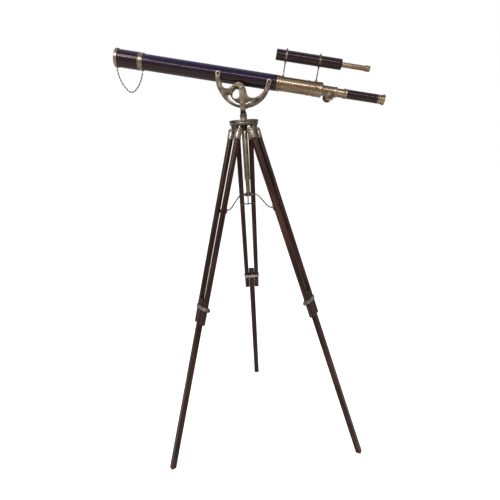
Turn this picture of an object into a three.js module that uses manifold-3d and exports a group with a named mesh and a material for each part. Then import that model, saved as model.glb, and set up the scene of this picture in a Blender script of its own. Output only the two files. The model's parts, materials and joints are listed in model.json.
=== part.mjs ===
// Brass and leather refracting telescope on an alt-azimuth fork head and a folding wooden tripod.
// Millimetres, +Z up. The barrel lies in the XZ plane: objective towards -X, eyepiece towards +X.
// The model is built about the tripod's own axis and moved at the end, so that the middle of its
// footprint stands on the origin.

import * as THREE from 'three';
import { mergeVertices } from 'three/addons/utils/BufferGeometryUtils.js';
import Module from 'manifold-3d';

const wasm = await Module();
wasm.setup();

const rad = THREE.MathUtils.degToRad;

// ---------------------------------------------------------------- driving dimensions

const GAP = 0.3;                  // clearance between pieces that touch or run in each other

// stance
const LEG_LENGTH = 1344.4;        // hinge pin to floor along a spread leg
const FOOT_RADIUS = 435;          // tripod axis to the middle of a foot
const HINGE_RADIUS = 40;          // tripod axis to a leg's hinge pin
const FIRST_LEG = -146.5;          // azimuth of the first leg, degrees
const TUBE_ELEVATION = 12;        // barrel above the horizontal, degrees

// tripod head
const BASE_R = 54;
const BASE_THICK = 10;
const PLATE_R = 55;
const PLATE_THICK = 7.7;
const BLOCK_DROP = 19;            // underside of the base to the hinge pins
const BLOCK_DEPTH = 17;           // hinge block, measured away from the tripod axis
const TRUNNION_R = 3.5;
const COLLAR_R = 14;
const COLLAR_HEIGHT = 18;
const SPINDLE_R = 7;
const SPINDLE_SEAT = 6;           // depth of the spindle's blind bore in the base
const ROD_R = 8;                  // centre rod
const ROD_LENGTH = 266;

// legs
const RAIL_SPACING = 50.6;        // centre to centre of a leg's two rails at the hinge
const RAIL_CLOSE = 45;            // and at the clamp, which draws them together
const RAIL_SIZE = 19.5;            // a rail is square with well rounded edges
const RAIL_ROUND = 5.5;
const RAIL_END = 744;             // hinge pin to the rails' lower end
const FERRULE_WALL = 1.2;
const FERRULE_LENGTH = 31;
const FERRULE_EYE_R = 9.5;
const SOCKET_TOP = 11;            // hinge pin to the bottom of the rail's socket
const CROSSBAR_DROP = 302;        // hinge pin to the crossbar, along the leg
const CROSSBAR_R = 2.5;
const PAD = [10, 14];             // crossbar's pads on the rails, width and height
const CLAMP_DROP = 679;           // hinge pin to the clamp
const CLAMP_HEIGHT = 13;
const CLAMP_WALL = 2.2;
const CLAMP_BOSS_R = 5.5;
const CLAMP_BOSS_LENGTH = 5;
const THUMB_R = 8;
const THUMB_THICK = 9;
const THUMB_SCREW_R = 2.5;
const CLAMP_TURNS = [0, 180, -90]; // where each leg's clamp screw sits about its leg, degrees
const LOWER_THICK = 19.5;
const LOWER_PLAY = 0.5;           // between the lower leg and each rail
const LOWER_ABOVE_CLAMP = 35;     // top of the lower leg above the clamp's middle
const LOWER_ROUND = 3;

// spreader
const HUB_DROP = 239.5;           // hinge pins to the middle of the hub
const HUB_WALL = 3.7;
const HUB_HEIGHT = 14;
const LUG_REACH = 5.5;            // hub's wall to the arm's pin
const LUG_THICK = 2.5;
const LUG_HALF = 5;               // half height of a lug
const ARM_PIN_R = 1.5;
const ARM_R = 2.5;
const ARM_EYE_R = 4.5;
const LOOP_WALL = 3;
const LOOP_PLAY = 1.6;            // around the crossbar, which also moves a little across the loop
const LOOP_TRAVEL = 13;           // room for the crossbar to run along the loop as the legs fold

// fork and cradle
const FORK_WIDTH = 20;
const FORK_CHEEK = 5;
const FORK_CLEARANCE = 10.4;      // cradle's lowest edge, level, to the bridge it swings over
const FORK_BRIDGE = 10;
const FORK_CORNER_R = 12;
const FORK_FILLET = 2;
const FORK_BOSS_R = 10.5;
const NECK_R = 12;
const NECK_HEIGHT = 7;
const CRADLE_THICK = 4;
const CRADLE_BACK = 1.8;          // cradle's middle behind the pivot
const CRADLE_TIP_SPAN = 93;       // cradle's middle to the middle of a tip
const CRADLE_TIP_DROP = 3.3;      // tips below the barrel's axis
const CRADLE_TIP_R = 9.3;
const CRADLE_ARC_R = 101;
const CRADLE_ARC_DROP = 1;        // centre of the outer arc below the barrel's axis
const CRADLE_ARC_END = 14;        // degrees below level where the outer arc meets the tips
const CRADLE_EDGE = [             // upper edge between the tips, about the cradle's middle and the pivot
  [-81.8, 18], [-77.5, 5.5], [-68, -5], [-59.5, -9], [-49, -6.9], [-40.5, 0], [-31, 9.5], [-20, 17],
  [-8, 18], [4.5, 11.8], [14.5, -3], [19, -13], [23.8, -21.5], [31, -25.8], [41.5, -26.7], [55.5, -22],
  [68.3, -11], [77.3, 1.8], [82.5, 16.2],
];
const WINDOW_AT = [-18, -19.1];   // oval window about the pivot
const WINDOW_HALF = [15.5, 20];
const SLOT_RIM = 5.2;             // cradle's lowest edge to the arc slot
const SLOT_PLAY = 0.9;
const SLOT_ENDS = [-148, -48];    // degrees about the pivot
const BOLT_R = 4;
const BOLT_HEAD_R = 6.5;
const BOLT_HEAD = 4.2;
const PIVOT_CLEARANCE = 7.6;      // pivot bolt below the barrel
const WING_SPAN = 21;
const WING_THICK = 3.6;
const WING_LOBE_R = 6;
const WING_HUB_R = 7.5;
const WING_HUB = 10;
const WING_ANGLE = -38;           // wings against +X, degrees

// barrel, lengths along its axis counted from the cradle centre
const TUBE_R = 27.8;
const TUBE_WALL = 2.2;
const TUBE_BEHIND = 120.5;
const BAND_BACK = 364.4;           // cradle centre forward to the band
const BAND_WIDTH = 18;
const BAND_WALL = 2.2;
const TUBE_IN_BAND = 14;
const HOOD_PROUD = 2.8;           // hood's radius over the tube's
const HOOD_WALL = 2;
const HOOD_LENGTH = 79.3;
const CAP_WALL = 2.1;
const CAP_DISC = 2.7;
const CAP_DOME = 6.5;
const CAP_OVERLAP = 6;
const EYE_STUD_R = 2.2;           // chain studs under the cap and the band
const EYE_STUD = 4;               // how far both studs end below the cap
const CAP_STUD_AT = 2;            // behind the cap's seat
const BAND_STUD_AT = 2.5;         // ahead of the band's rear edge
const CELL_LIP = 2.7;             // cell's wall around the lens
const CELL_LENGTH = 18.5;
const LENS_EDGE = 5;
const LENS_BULGE = 2;
const LENS_LIP = 1.8;

// rear sleeve, focuser, eyepiece
const SLEEVE_WALL = 2;
const SLEEVE_IN_TUBE = 20;
const COLLAR_RING = 15.5;
const SLEEVE_END = 289.4;          // cradle centre back to the sleeve's end face
const END_RING = 32;
const END_RING_PROUD = 2;
const END_PLATE = 5;
const DRAW_R = 15;
const DRAW_WALL = 1.3;
const DRAW_FRONT = 170;
const DRAW_END = 384.1;
const DRAW_RING = 13;
const DRAW_RING_PROUD = 3;
const HOUSING_WALL = 2.45;
const HOUSING_END = 345;
const HOUSING_RING = [5, 1.2];    // width and height of the ring at its end
const HOUSING_FLANGE = 4.3;
const RACK_WIDTH = 5.6;
const RACK_PROUD = 0.9;
const RACK_FROM = 215;
const RACK_TO = 368;
const PINION_AT = 318.5;
const PINION_R = 3.2;
const PINION_LENGTH = 8;
const SHAFT_R = 2;
const BLOCK_R = 7;
const BLOCK_PROUD = 1.75;         // pinion block's half width over the housing's radius
const KNOB_R = 17.2;
const KNOB_THICK = 9;
const EYEPIECE_R = 16.2;
const EYEPIECE_END = 495.4;
const SPIGOT_LENGTH = 30;
const EYE_LENS_R = 11.2;
const EYE_LENS_THICK = 4;
const EYE_BORE_R = 10;
const EYECUP_LENGTH = 26.5;
const EYECUP_MOUTH_R = 19.3;

// finder
const FINDER_RISE = 95;           // between the two optical axes
const FINDER_R = 18.8;
const FINDER_WALL = 2;
const FINDER_FRONT = 106.3;
const FINDER_LENGTH = 237.6;
const FINDER_DRAW_R = 8.8;
const FINDER_DRAW_END = 432.9;
const FINDER_DRAW_INSIDE = 39;
const FINDER_EYE_R = 10.8;
const FINDER_EYE = 14.1;
const FINDER_RINGS = [142.5, 264.5]; // cradle centre back to each ring
const FINDER_RING_WALL = 2.2;
const FINDER_RING = 8;
const POST_R = 3;
const POST_FOOT_R = 4.8;

// chain from the cap's stud to the band's: distances from its first point, [along +X, up]
const CHAIN_R = 2.5;
const CHAIN_DROP = 1.4;           // stud to the chain's first point
const CHAIN_ROUTE = [
  [0, 0], [1, -8], [2.5, -17], [5, -28.5], [8.5, -39.5], [13, -50], [18.5, -59.5], [25, -68.5],
  [32, -76], [40, -80.8], [48, -80.6], [56, -76.5], [63.5, -70], [70.5, -62], [76.5, -53],
  [81.5, -43.5], [85.5, -34.5], [88.5, -26.5], [90.7, -20.3],
];

// ---------------------------------------------------------------- finishes

const BRASS = { color: 0x75685a, roughness: 0.42, metalness: 0.9 };
const BRIGHT_BRASS = { color: 0x8c7c5c, roughness: 0.32, metalness: 0.95 };
const LEATHER = { color: 0x2b1f22, roughness: 0.35, metalness: 0 };
const WOOD = { color: 0x38241f, roughness: 0.45, metalness: 0 };
const GLASS = { color: 0x9fb4bd, roughness: 0.05, metalness: 0 };
const STEEL = { color: 0x8b8a86, roughness: 0.4, metalness: 0.9 };

// ---------------------------------------------------------------- helpers

function solid(geometry) {
  const bare = geometry.clone();
  bare.deleteAttribute('normal');
  bare.deleteAttribute('uv');
  const merged = mergeVertices(bare, 1e-4);
  return new wasm.Manifold(new wasm.Mesh({
    numProp: 3,
    vertProperties: new Float32Array(merged.attributes.position.array),
    triVerts: new Uint32Array(merged.index.array),
  }));
}

function geometryOf(manifold) {
  const mesh = manifold.getMesh();
  const geometry = new THREE.BufferGeometry();
  geometry.setAttribute('position', new THREE.BufferAttribute(mesh.vertProperties, 3));
  geometry.setIndex(new THREE.BufferAttribute(mesh.triVerts, 1));
  geometry.computeVertexNormals();
  return geometry;
}

function join(...geometries) {
  return geometryOf(geometries.map(solid).reduce((whole, piece) => whole.add(piece)));
}

function cut(geometry, ...tools) {
  return geometryOf(tools.map(solid).reduce((whole, tool) => whole.subtract(tool), solid(geometry)));
}

// A solid of revolution about X. Each profile point is [distance along X, radius].
function turned(profile, sides = 24) {
  const area = profile.reduce((sum, [along, radius], i) => {
    const [nextAlong, nextRadius] = profile[(i + 1) % profile.length];
    return sum + radius * nextAlong - nextRadius * along;
  }, 0);
  const points = profile.map(([along, radius]) => new THREE.Vector2(radius, along));
  if (area < 0) points.reverse();
  if (points[0].x > 0 || points[points.length - 1].x > 0) points.push(points[0].clone());
  return new THREE.LatheGeometry(points, sides).rotateZ(-Math.PI / 2);
}

const turnedY = (profile, sides) => turned(profile, sides).rotateZ(Math.PI / 2);
const turnedZ = (profile, sides) => turned(profile, sides).rotateY(-Math.PI / 2);

function pipe(from, to, outer, inner, sides) {
  return turned([[from, inner], [from, outer], [to, outer], [to, inner]], sides);
}

const bar = (from, to, radius, sides = 12) => turned([[from, 0], [from, radius], [to, radius], [to, 0]], sides);
const barY = (from, to, radius, sides) => bar(from, to, radius, sides).rotateZ(Math.PI / 2);
const barZ = (from, to, radius, sides) => bar(from, to, radius, sides).rotateY(-Math.PI / 2);

function block(lowX, highX, lowY, highY, lowZ, highZ) {
  const box = new THREE.BoxGeometry(highX - lowX, highY - lowY, highZ - lowZ);
  return box.translate((lowX + highX) / 2, (lowY + highY) / 2, (lowZ + highZ) / 2);
}

// Points of an arc about (x, y), both ends included.
function arc(x, y, radius, fromDegrees, toDegrees, steps) {
  return Array.from({ length: steps + 1 }, (_, i) => {
    const angle = rad(fromDegrees + (toDegrees - fromDegrees) * i / steps);
    return new THREE.Vector2(x + radius * Math.cos(angle), y + radius * Math.sin(angle));
  });
}

const hole = (points) => new THREE.Path(points);

// An outline of (x, z) points with a thickness along Y, from lowY up.
function plateXZ(outline, holes, lowY, thickness) {
  const shape = new THREE.Shape(outline);
  shape.holes.push(...holes);
  const flat = new THREE.ExtrudeGeometry(shape, { depth: thickness, bevelEnabled: false });
  const upright = new THREE.Matrix4().makeBasis(
    new THREE.Vector3(1, 0, 0), new THREE.Vector3(0, 0, 1), new THREE.Vector3(0, -1, 0));
  return flat.applyMatrix4(upright).translate(0, lowY + thickness, 0);
}

// An outline of (y, z) points with a thickness along X, centred on X = 0.
function plateYZ(outline, thickness) {
  const flat = new THREE.ExtrudeGeometry(new THREE.Shape(outline), { depth: thickness, bevelEnabled: false });
  const upright = new THREE.Matrix4().makeBasis(
    new THREE.Vector3(0, 1, 0), new THREE.Vector3(0, 0, 1), new THREE.Vector3(1, 0, 0));
  return flat.applyMatrix4(upright).translate(-thickness / 2, 0, 0);
}

function roundedRectangle(sizeX, sizeY, round, steps = 3) {
  const x = sizeX / 2 - round;
  const y = sizeY / 2 - round;
  return [
    ...arc(x, y, round, 0, 90, steps), ...arc(-x, y, round, 90, 180, steps),
    ...arc(-x, -y, round, 180, 270, steps), ...arc(x, -y, round, 270, 360, steps),
  ];
}

// A prism along Z with a rounded rectangular section, and a hole through it where one is given.
function prism(outline, lowZ, highZ, inner) {
  const shape = new THREE.Shape(outline);
  if (inner) shape.holes.push(hole(inner));
  return new THREE.ExtrudeGeometry(shape, { depth: highZ - lowZ, bevelEnabled: false }).translate(0, 0, lowZ);
}

function circle(radius, sides) {
  return arc(0, 0, radius, 0, 360 - 360 / sides, sides - 1);
}

function alongPath(path, radius, sides, steps) {
  return new THREE.ExtrudeGeometry(new THREE.Shape(circle(radius, sides)), { steps, extrudePath: path });
}

function lensShape(at, radius, edge, bulge) {
  const curve = [0.6, 1].map((share) => [share * radius, bulge * (1 - share * share)]);
  const front = [[at - bulge, 0], ...curve.map(([r, lift]) => [at - lift, r])];
  const back = [...curve.map(([r, lift]) => [at + edge + lift, r]).reverse(), [at + edge + bulge, 0]];
  return turned([...front, ...back], 16);
}

function add(parent, name, geometry, finish) {
  const mesh = new THREE.Mesh(geometry, new THREE.MeshStandardMaterial(finish));
  mesh.name = name;
  parent.add(mesh);
  return mesh;
}

// ---------------------------------------------------------------- levels and stations

const legReach = FOOT_RADIUS - HINGE_RADIUS;
const hingeZ = Math.sqrt(LEG_LENGTH ** 2 - legReach ** 2);
const legLean = Math.asin(legReach / LEG_LENGTH);
const baseBottom = hingeZ + BLOCK_DROP;
const baseTop = baseBottom + BASE_THICK;
const plateBottom = baseTop + GAP;
const plateTop = plateBottom + PLATE_THICK;
const collarBottom = plateTop + GAP;
const collarTop = collarBottom + COLLAR_HEIGHT;
const hubZ = hingeZ - HUB_DROP;
const railToe = Math.atan((RAIL_SPACING - RAIL_CLOSE) / 2 / CLAMP_DROP);
const railSpacingAt = (drop) => RAIL_SPACING - 2 * drop * Math.tan(railToe);

const cradleInner = TUBE_R + GAP;
const cradleOuter = cradleInner + CRADLE_THICK;
const cheekInner = cradleOuter + GAP;
const cheekOuter = cheekInner + FORK_CHEEK;
const pivotDrop = TUBE_R + PIVOT_CLEARANCE + BOLT_R;   // barrel axis to pivot
const cradleLow = CRADLE_ARC_R + CRADLE_ARC_DROP - pivotDrop;   // pivot to the level cradle's lowest edge
const slotHalf = BOLT_R + SLOT_PLAY;
const slotR = cradleLow - SLOT_RIM - slotHalf;
const forkDepth = cradleLow + FORK_CLEARANCE + FORK_BRIDGE;
const pivotZ = collarTop + GAP + NECK_HEIGHT + forkDepth;

const hoodR = TUBE_R + HOOD_PROUD;
const capR = hoodR + GAP + CAP_WALL;
const studReach = capR + EYE_STUD;
const sleeveR = TUBE_R - TUBE_WALL - GAP;
const sleeveIn = sleeveR - SLEEVE_WALL;
const housingR = DRAW_R + GAP + HOUSING_WALL;

const group = new THREE.Group();
const legAngles = [0, 120, 240].map((turn) => rad(FIRST_LEG + turn));

// ---------------------------------------------------------------- tripod head

function tripodHead() {
  const blockHalf = RAIL_SPACING / 2 - ferruleSize() / 2 - GAP;
  const trunnionEnd = RAIL_SPACING / 2 + ferruleSize() / 2;
  const brackets = legAngles.flatMap((angle) => [
    block(-BLOCK_DEPTH / 2, BLOCK_DEPTH / 2, -blockHalf, blockHalf, 0, BLOCK_DROP + 1),
    barY(-blockHalf, blockHalf, BLOCK_DEPTH / 2, 16),
    barY(-trunnionEnd, trunnionEnd, TRUNNION_R, 12),
  ].map((piece) => piece.translate(HINGE_RADIUS, 0, hingeZ).rotateZ(angle)));
  const disc = turnedZ([[baseBottom, 0], [baseBottom, BASE_R - 1.5], [baseBottom + 2, BASE_R],
    [baseTop, BASE_R], [baseTop, 0]], 40);
  const bore = barZ(baseTop - SPINDLE_SEAT, baseTop + 1, SPINDLE_R + GAP, 20);
  add(group, 'head_base', cut(join(disc, ...brackets), bore), BRASS);
  add(group, 'head_top_plate', turnedZ([[plateBottom, SPINDLE_R + GAP], [plateBottom, PLATE_R - 1],
    [plateBottom + 2, PLATE_R], [plateTop, PLATE_R], [plateTop, SPINDLE_R + GAP]], 40), BRASS);
  add(group, 'azimuth_collar', turnedZ([[collarBottom, SPINDLE_R + GAP], [collarBottom, COLLAR_R],
    [collarTop, COLLAR_R], [collarTop, SPINDLE_R + GAP]], 20), BRASS);
  const rodTop = baseBottom - GAP;
  add(group, 'centre_rod', barZ(rodTop - ROD_LENGTH, rodTop, ROD_R, 16), BRASS);
}

// ---------------------------------------------------------------- legs

function ferruleSize() {
  return RAIL_SIZE + 2 * (GAP + FERRULE_WALL);
}

function ferrule(side) {
  const size = ferruleSize();
  const body = prism(roundedRectangle(size, size, RAIL_ROUND + FERRULE_WALL), -FERRULE_LENGTH, 0);
  const eye = barY(-size / 2, size / 2, FERRULE_EYE_R, 16);
  const socket = prism(roundedRectangle(RAIL_SIZE + 2 * GAP, RAIL_SIZE + 2 * GAP, RAIL_ROUND + GAP),
    -FERRULE_LENGTH - 1, -SOCKET_TOP);
  const bore = barY(-size, size, TRUNNION_R + GAP, 12);
  return toed(cut(join(body, eye), socket, bore), side);
}

// Moves a piece made about a rail's middle to that side, turned with the rail.
function toed(geometry, side) {
  return geometry.rotateX(-side * railToe).translate(0, side * RAIL_SPACING / 2, 0);
}

function rail(side) {
  return toed(prism(roundedRectangle(RAIL_SIZE, RAIL_SIZE, RAIL_ROUND), -RAIL_END, -SOCKET_TOP - GAP), side);
}

function crossbar() {
  const face = -RAIL_SIZE / 2 - GAP;
  const half = railSpacingAt(CROSSBAR_DROP) / 2;
  const rod = barY(-half, half, CROSSBAR_R, 12).translate(crossbarX(), 0, -CROSSBAR_DROP);
  const [width, height] = PAD;
  const pads = [-1, 1].map((side) => block(face - 2 * CROSSBAR_R, face, -width / 2, width / 2, -height / 2, height / 2)
    .translate(0, side * half, -CROSSBAR_DROP));
  return join(rod, ...pads);
}

function crossbarX() {
  return -RAIL_SIZE / 2 - GAP - CROSSBAR_R;
}

// Half of the clamp's inner width towards its screw.
function clampHalf(turn) {
  return (Math.abs(turn) === 90 ? RAIL_SIZE : RAIL_CLOSE + RAIL_SIZE) / 2 + GAP;
}

function clampBand(turn) {
  const innerX = RAIL_SIZE + 2 * GAP;
  const innerY = RAIL_CLOSE + RAIL_SIZE + 2 * GAP;
  const outline = roundedRectangle(innerX + 2 * CLAMP_WALL, innerY + 2 * CLAMP_WALL, RAIL_ROUND + GAP + CLAMP_WALL);
  const ring = prism(outline, -CLAMP_HEIGHT / 2, CLAMP_HEIGHT / 2, roundedRectangle(innerX, innerY, RAIL_ROUND + GAP));
  const half = clampHalf(turn);
  const boss = barY(half + CLAMP_WALL / 2, half + CLAMP_WALL + CLAMP_BOSS_LENGTH, CLAMP_BOSS_R, 12).rotateZ(rad(turn));
  const bore = barY(half - 1, half + CLAMP_WALL + CLAMP_BOSS_LENGTH + 1, THUMB_SCREW_R + GAP, 12).rotateZ(rad(turn));
  return cut(join(ring, boss), bore).translate(0, 0, -CLAMP_DROP);
}

function clampScrew(turn) {
  const face = clampHalf(turn);
  const shoulder = face + CLAMP_WALL + CLAMP_BOSS_LENGTH + GAP;
  const screw = turnedY([[face, 0], [face, THUMB_SCREW_R], [shoulder, THUMB_SCREW_R], [shoulder, THUMB_R - 3],
    [shoulder + 2, THUMB_R - 3], [shoulder + 2, THUMB_R], [shoulder + 2 + THUMB_THICK, THUMB_R],
    [shoulder + 3 + THUMB_THICK, THUMB_R - 1], [shoulder + 3 + THUMB_THICK, 0]], 12);
  return screw.rotateZ(rad(turn)).translate(0, 0, -CLAMP_DROP);
}

function lowerLeg() {
  const width = railSpacingAt(RAIL_END) - RAIL_SIZE - 2 * LOWER_PLAY;
  const top = -CLAMP_DROP + LOWER_ABOVE_CLAMP;
  const beam = prism(roundedRectangle(LOWER_THICK, width, LOWER_ROUND, 2), -LEG_LENGTH - LOWER_THICK, top);
  const floor = block(-RAIL_END, RAIL_END, -RAIL_END, RAIL_END, -RAIL_END, 0)
    .rotateY(legLean).translate(0, 0, -LEG_LENGTH);
  return cut(beam, floor);
}

function legs() {
  legAngles.forEach((angle, i) => {
    const turn = new THREE.Group();
    turn.rotation.z = angle;
    const leg = new THREE.Group();
    leg.position.set(HINGE_RADIUS, 0, hingeZ);
    leg.rotation.y = -legLean;
    turn.add(leg);
    group.add(turn);
    const name = `leg_${i + 1}`;
    const turnOfScrew = CLAMP_TURNS[i];
    add(leg, `${name}_ferrule_a`, ferrule(1), BRIGHT_BRASS);
    add(leg, `${name}_ferrule_b`, ferrule(-1), BRIGHT_BRASS);
    add(leg, `${name}_rail_a`, rail(1), WOOD);
    add(leg, `${name}_rail_b`, rail(-1), WOOD);
    add(leg, `${name}_crossbar`, crossbar(), BRASS);
    add(leg, `${name}_clamp_band`, clampBand(turnOfScrew), BRASS);
    add(leg, `${name}_clamp_screw`, clampScrew(turnOfScrew), BRIGHT_BRASS);
    add(leg, `${name}_lower`, lowerLeg(), WOOD);
  });
}

// ---------------------------------------------------------------- spreader

function spreader() {
  const wall = ROD_R + GAP + HUB_WALL;
  const pinAt = wall + LUG_REACH;
  const lugGap = ARM_R + GAP;
  const ring = turnedZ([[-HUB_HEIGHT / 2, ROD_R + GAP], [-HUB_HEIGHT / 2, wall], [HUB_HEIGHT / 2, wall],
    [HUB_HEIGHT / 2, ROD_R + GAP]], 16);
  const lugs = legAngles.flatMap((angle) => [
    ...[lugGap, -lugGap - LUG_THICK].map((low) => block(wall - 1, pinAt + ARM_EYE_R, low, low + LUG_THICK, -LUG_HALF, LUG_HALF)),
    barY(-lugGap - LUG_THICK, lugGap + LUG_THICK, ARM_PIN_R, 10).translate(pinAt, 0, 0),
  ].map((piece) => piece.rotateZ(angle)));
  add(group, 'spreader_hub', join(ring, ...lugs).translate(0, 0, hubZ), BRASS);

  // the crossbar seen from the arm's pin, in the leg's own vertical plane
  const crossR = HINGE_RADIUS + CROSSBAR_DROP * Math.sin(legLean) + crossbarX() * Math.cos(legLean);
  const crossZ = hingeZ - CROSSBAR_DROP * Math.cos(legLean) + crossbarX() * Math.sin(legLean);
  const end = new THREE.Vector2(crossR - pinAt, crossZ - hubZ);
  const slope = Math.atan2(end.y, end.x);
  const innerR = CROSSBAR_R + LOOP_PLAY;
  const stadium = (radius) => [...arc(0, 0, radius, -90, 90, 5), ...arc(-LOOP_TRAVEL, 0, radius, 90, 270, 5)];
  const loop = plateXZ(stadium(innerR + LOOP_WALL), [hole(stadium(innerR))], -ARM_R, 2 * ARM_R)
    .rotateY(-slope).translate(end.x, 0, end.y);
  const joinAt = new THREE.Vector2(-LOOP_TRAVEL, -innerR - LOOP_WALL / 2)
    .rotateAround(new THREE.Vector2(), slope).add(end);
  const path = new THREE.CatmullRomCurve3([
    [ARM_EYE_R - 1, 0], [end.x * 0.19, end.y * 0.02], [end.x * 0.34, end.y * 0.24], [end.x * 0.52, end.y * 0.6],
    [end.x * 0.67, end.y * 0.88], [joinAt.x, joinAt.y],
  ].map(([x, z]) => new THREE.Vector3(x, 0, z)));
  const eye = barY(-ARM_R, ARM_R, ARM_EYE_R, 12);
  const pinHole = barY(-2 * ARM_R, 2 * ARM_R, ARM_PIN_R + GAP, 10);
  legAngles.forEach((angle, i) => {
    const arm = cut(join(eye, alongPath(path, ARM_R, 8, 10), loop), pinHole);
    add(group, `spreader_arm_${i + 1}`, arm.translate(pinAt, 0, hubZ).rotateZ(angle), BRASS);
  });
}

// ---------------------------------------------------------------- fork

function fork() {
  const inner = FORK_BRIDGE - forkDepth;
  const corner = cheekOuter - FORK_CORNER_R;
  const fillet = cheekInner - FORK_FILLET;
  const outline = [
    new THREE.Vector2(-cheekOuter, 0), ...arc(-corner, -forkDepth + FORK_CORNER_R, FORK_CORNER_R, 180, 270, 4),
    ...arc(corner, -forkDepth + FORK_CORNER_R, FORK_CORNER_R, 270, 360, 4), new THREE.Vector2(cheekOuter, 0),
    new THREE.Vector2(cheekInner, 0), ...arc(fillet, inner + FORK_FILLET, FORK_FILLET, 360, 270, 3),
    ...arc(-fillet, inner + FORK_FILLET, FORK_FILLET, 270, 180, 3), new THREE.Vector2(-cheekInner, 0),
  ];
  const bosses = [[cheekInner, cheekOuter], [-cheekOuter, -cheekInner]]
    .map(([low, high]) => barY(low, high, FORK_BOSS_R, 20));
  const neck = barZ(-forkDepth - NECK_HEIGHT, -forkDepth + 1, NECK_R, 24);
  const spindleEnd = baseTop - SPINDLE_SEAT + GAP - pivotZ;
  const spindle = barZ(spindleEnd, -forkDepth + 2, SPINDLE_R, 20);
  const bores = [0, -slotR].map((level) => barY(-cheekOuter - 1, cheekOuter + 1, BOLT_R + GAP, 16)
    .translate(0, 0, level));
  const body = cut(join(plateYZ(outline, FORK_WIDTH), ...bosses, neck, spindle), ...bores);
  add(group, 'azimuth_post', body.translate(0, 0, pivotZ), BRASS);

  const head = cheekOuter + GAP;
  const boltHead = [[-head - BOLT_HEAD, 0], [-head - BOLT_HEAD, BOLT_HEAD_R - 1], [-head - BOLT_HEAD + 1, BOLT_HEAD_R],
    [-head, BOLT_HEAD_R], [-head, BOLT_R]];
  const pivot = turnedY([...boltHead, [head, BOLT_R], [head, BOLT_HEAD_R], [head + BOLT_HEAD, BOLT_HEAD_R],
    [head + BOLT_HEAD, 0]], 16);
  add(group, 'pivot_bolt', pivot.translate(0, 0, pivotZ), BRASS);
  const tail = head + WING_HUB + 4;
  const lock = turnedY([...boltHead, [tail, BOLT_R], [tail, 0]], 16);
  add(group, 'lock_bolt', lock.translate(0, 0, pivotZ - slotR), BRASS);

  const lobe = (side) => arc(side * (WING_SPAN - WING_LOBE_R), WING_LOBE_R / 2, WING_LOBE_R,
    side > 0 ? -70 : 90, side > 0 ? 90 : 250, 6);
  const root = [WING_HUB_R * 0.6, WING_LOBE_R * 0.7];
  const wings = plateXZ([...lobe(1), new THREE.Vector2(root[0], root[1]), new THREE.Vector2(-root[0], root[1]),
    ...lobe(-1), new THREE.Vector2(-root[0], -root[1]), new THREE.Vector2(root[0], -root[1])], [],
    head + WING_HUB - WING_THICK - 2, WING_THICK);
  const hub = turnedY([[head, 0], [head, WING_HUB_R], [head + WING_HUB * 0.6, WING_HUB_R - 0.5],
    [head + WING_HUB, WING_HUB_R - 2], [head + WING_HUB, 0]], 16);
  const thread = barY(head - 1, head + WING_HUB + 1, BOLT_R + GAP, 16);
  const nut = cut(join(hub, wings), thread).rotateY(rad(-WING_ANGLE));
  add(group, 'wing_nut', nut.translate(0, 0, pivotZ - slotR), BRASS);
}

// ---------------------------------------------------------------- barrel on its cradle

const altitude = new THREE.Group();
altitude.position.set(0, 0, pivotZ);
altitude.rotation.y = rad(TUBE_ELEVATION);
group.add(altitude);
const barrel = new THREE.Group();
barrel.position.z = pivotDrop;
altitude.add(barrel);

// Crescent plate seen from the side, about the pivot: two arms up to the barrel's middle, a hump
// that carries the pivot, a round window and the arc slot that the lock bolt runs in.
function cradlePlate(lowY) {
  const arcZ = pivotDrop - CRADLE_ARC_DROP;
  const tipZ = pivotDrop - CRADLE_TIP_DROP;
  const tip = CRADLE_TIP_SPAN - CRADLE_TIP_R;
  const edge = new THREE.SplineCurve([[-tip, tipZ], ...CRADLE_EDGE, [tip, tipZ]]
    .map(([x, z]) => new THREE.Vector2(x, z))).getPoints(34);
  const outline = [
    ...arc(0, arcZ, CRADLE_ARC_R, -CRADLE_ARC_END, CRADLE_ARC_END - 180, 22),
    ...arc(-CRADLE_TIP_SPAN, tipZ, CRADLE_TIP_R, 180, 0, 6),
    ...edge.slice(1, -1),
    ...arc(CRADLE_TIP_SPAN, tipZ, CRADLE_TIP_R, 180, 0, 6),
  ].reverse().map((point) => new THREE.Vector2(point.x + CRADLE_BACK, point.y));
  const [first, last] = SLOT_ENDS;
  const roundEnd = (angle, from) => arc(slotR * Math.cos(rad(angle)), slotR * Math.sin(rad(angle)), slotHalf,
    from, from + 180, 4).slice(1, -1);
  const slot = [
    ...arc(0, 0, slotR + slotHalf, first, last, 12), ...roundEnd(last, last),
    ...arc(0, 0, slotR - slotHalf, last, first, 12), ...roundEnd(first, first + 180),
  ];
  const window = circle(1, 24).map((point) => new THREE.Vector2(
    WINDOW_AT[0] + point.x * WINDOW_HALF[0], WINDOW_AT[1] + point.y * WINDOW_HALF[1]));
  return plateXZ(outline, [hole(slot), hole(window), hole(circle(BOLT_R + GAP, 16))], lowY, CRADLE_THICK);
}

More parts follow.
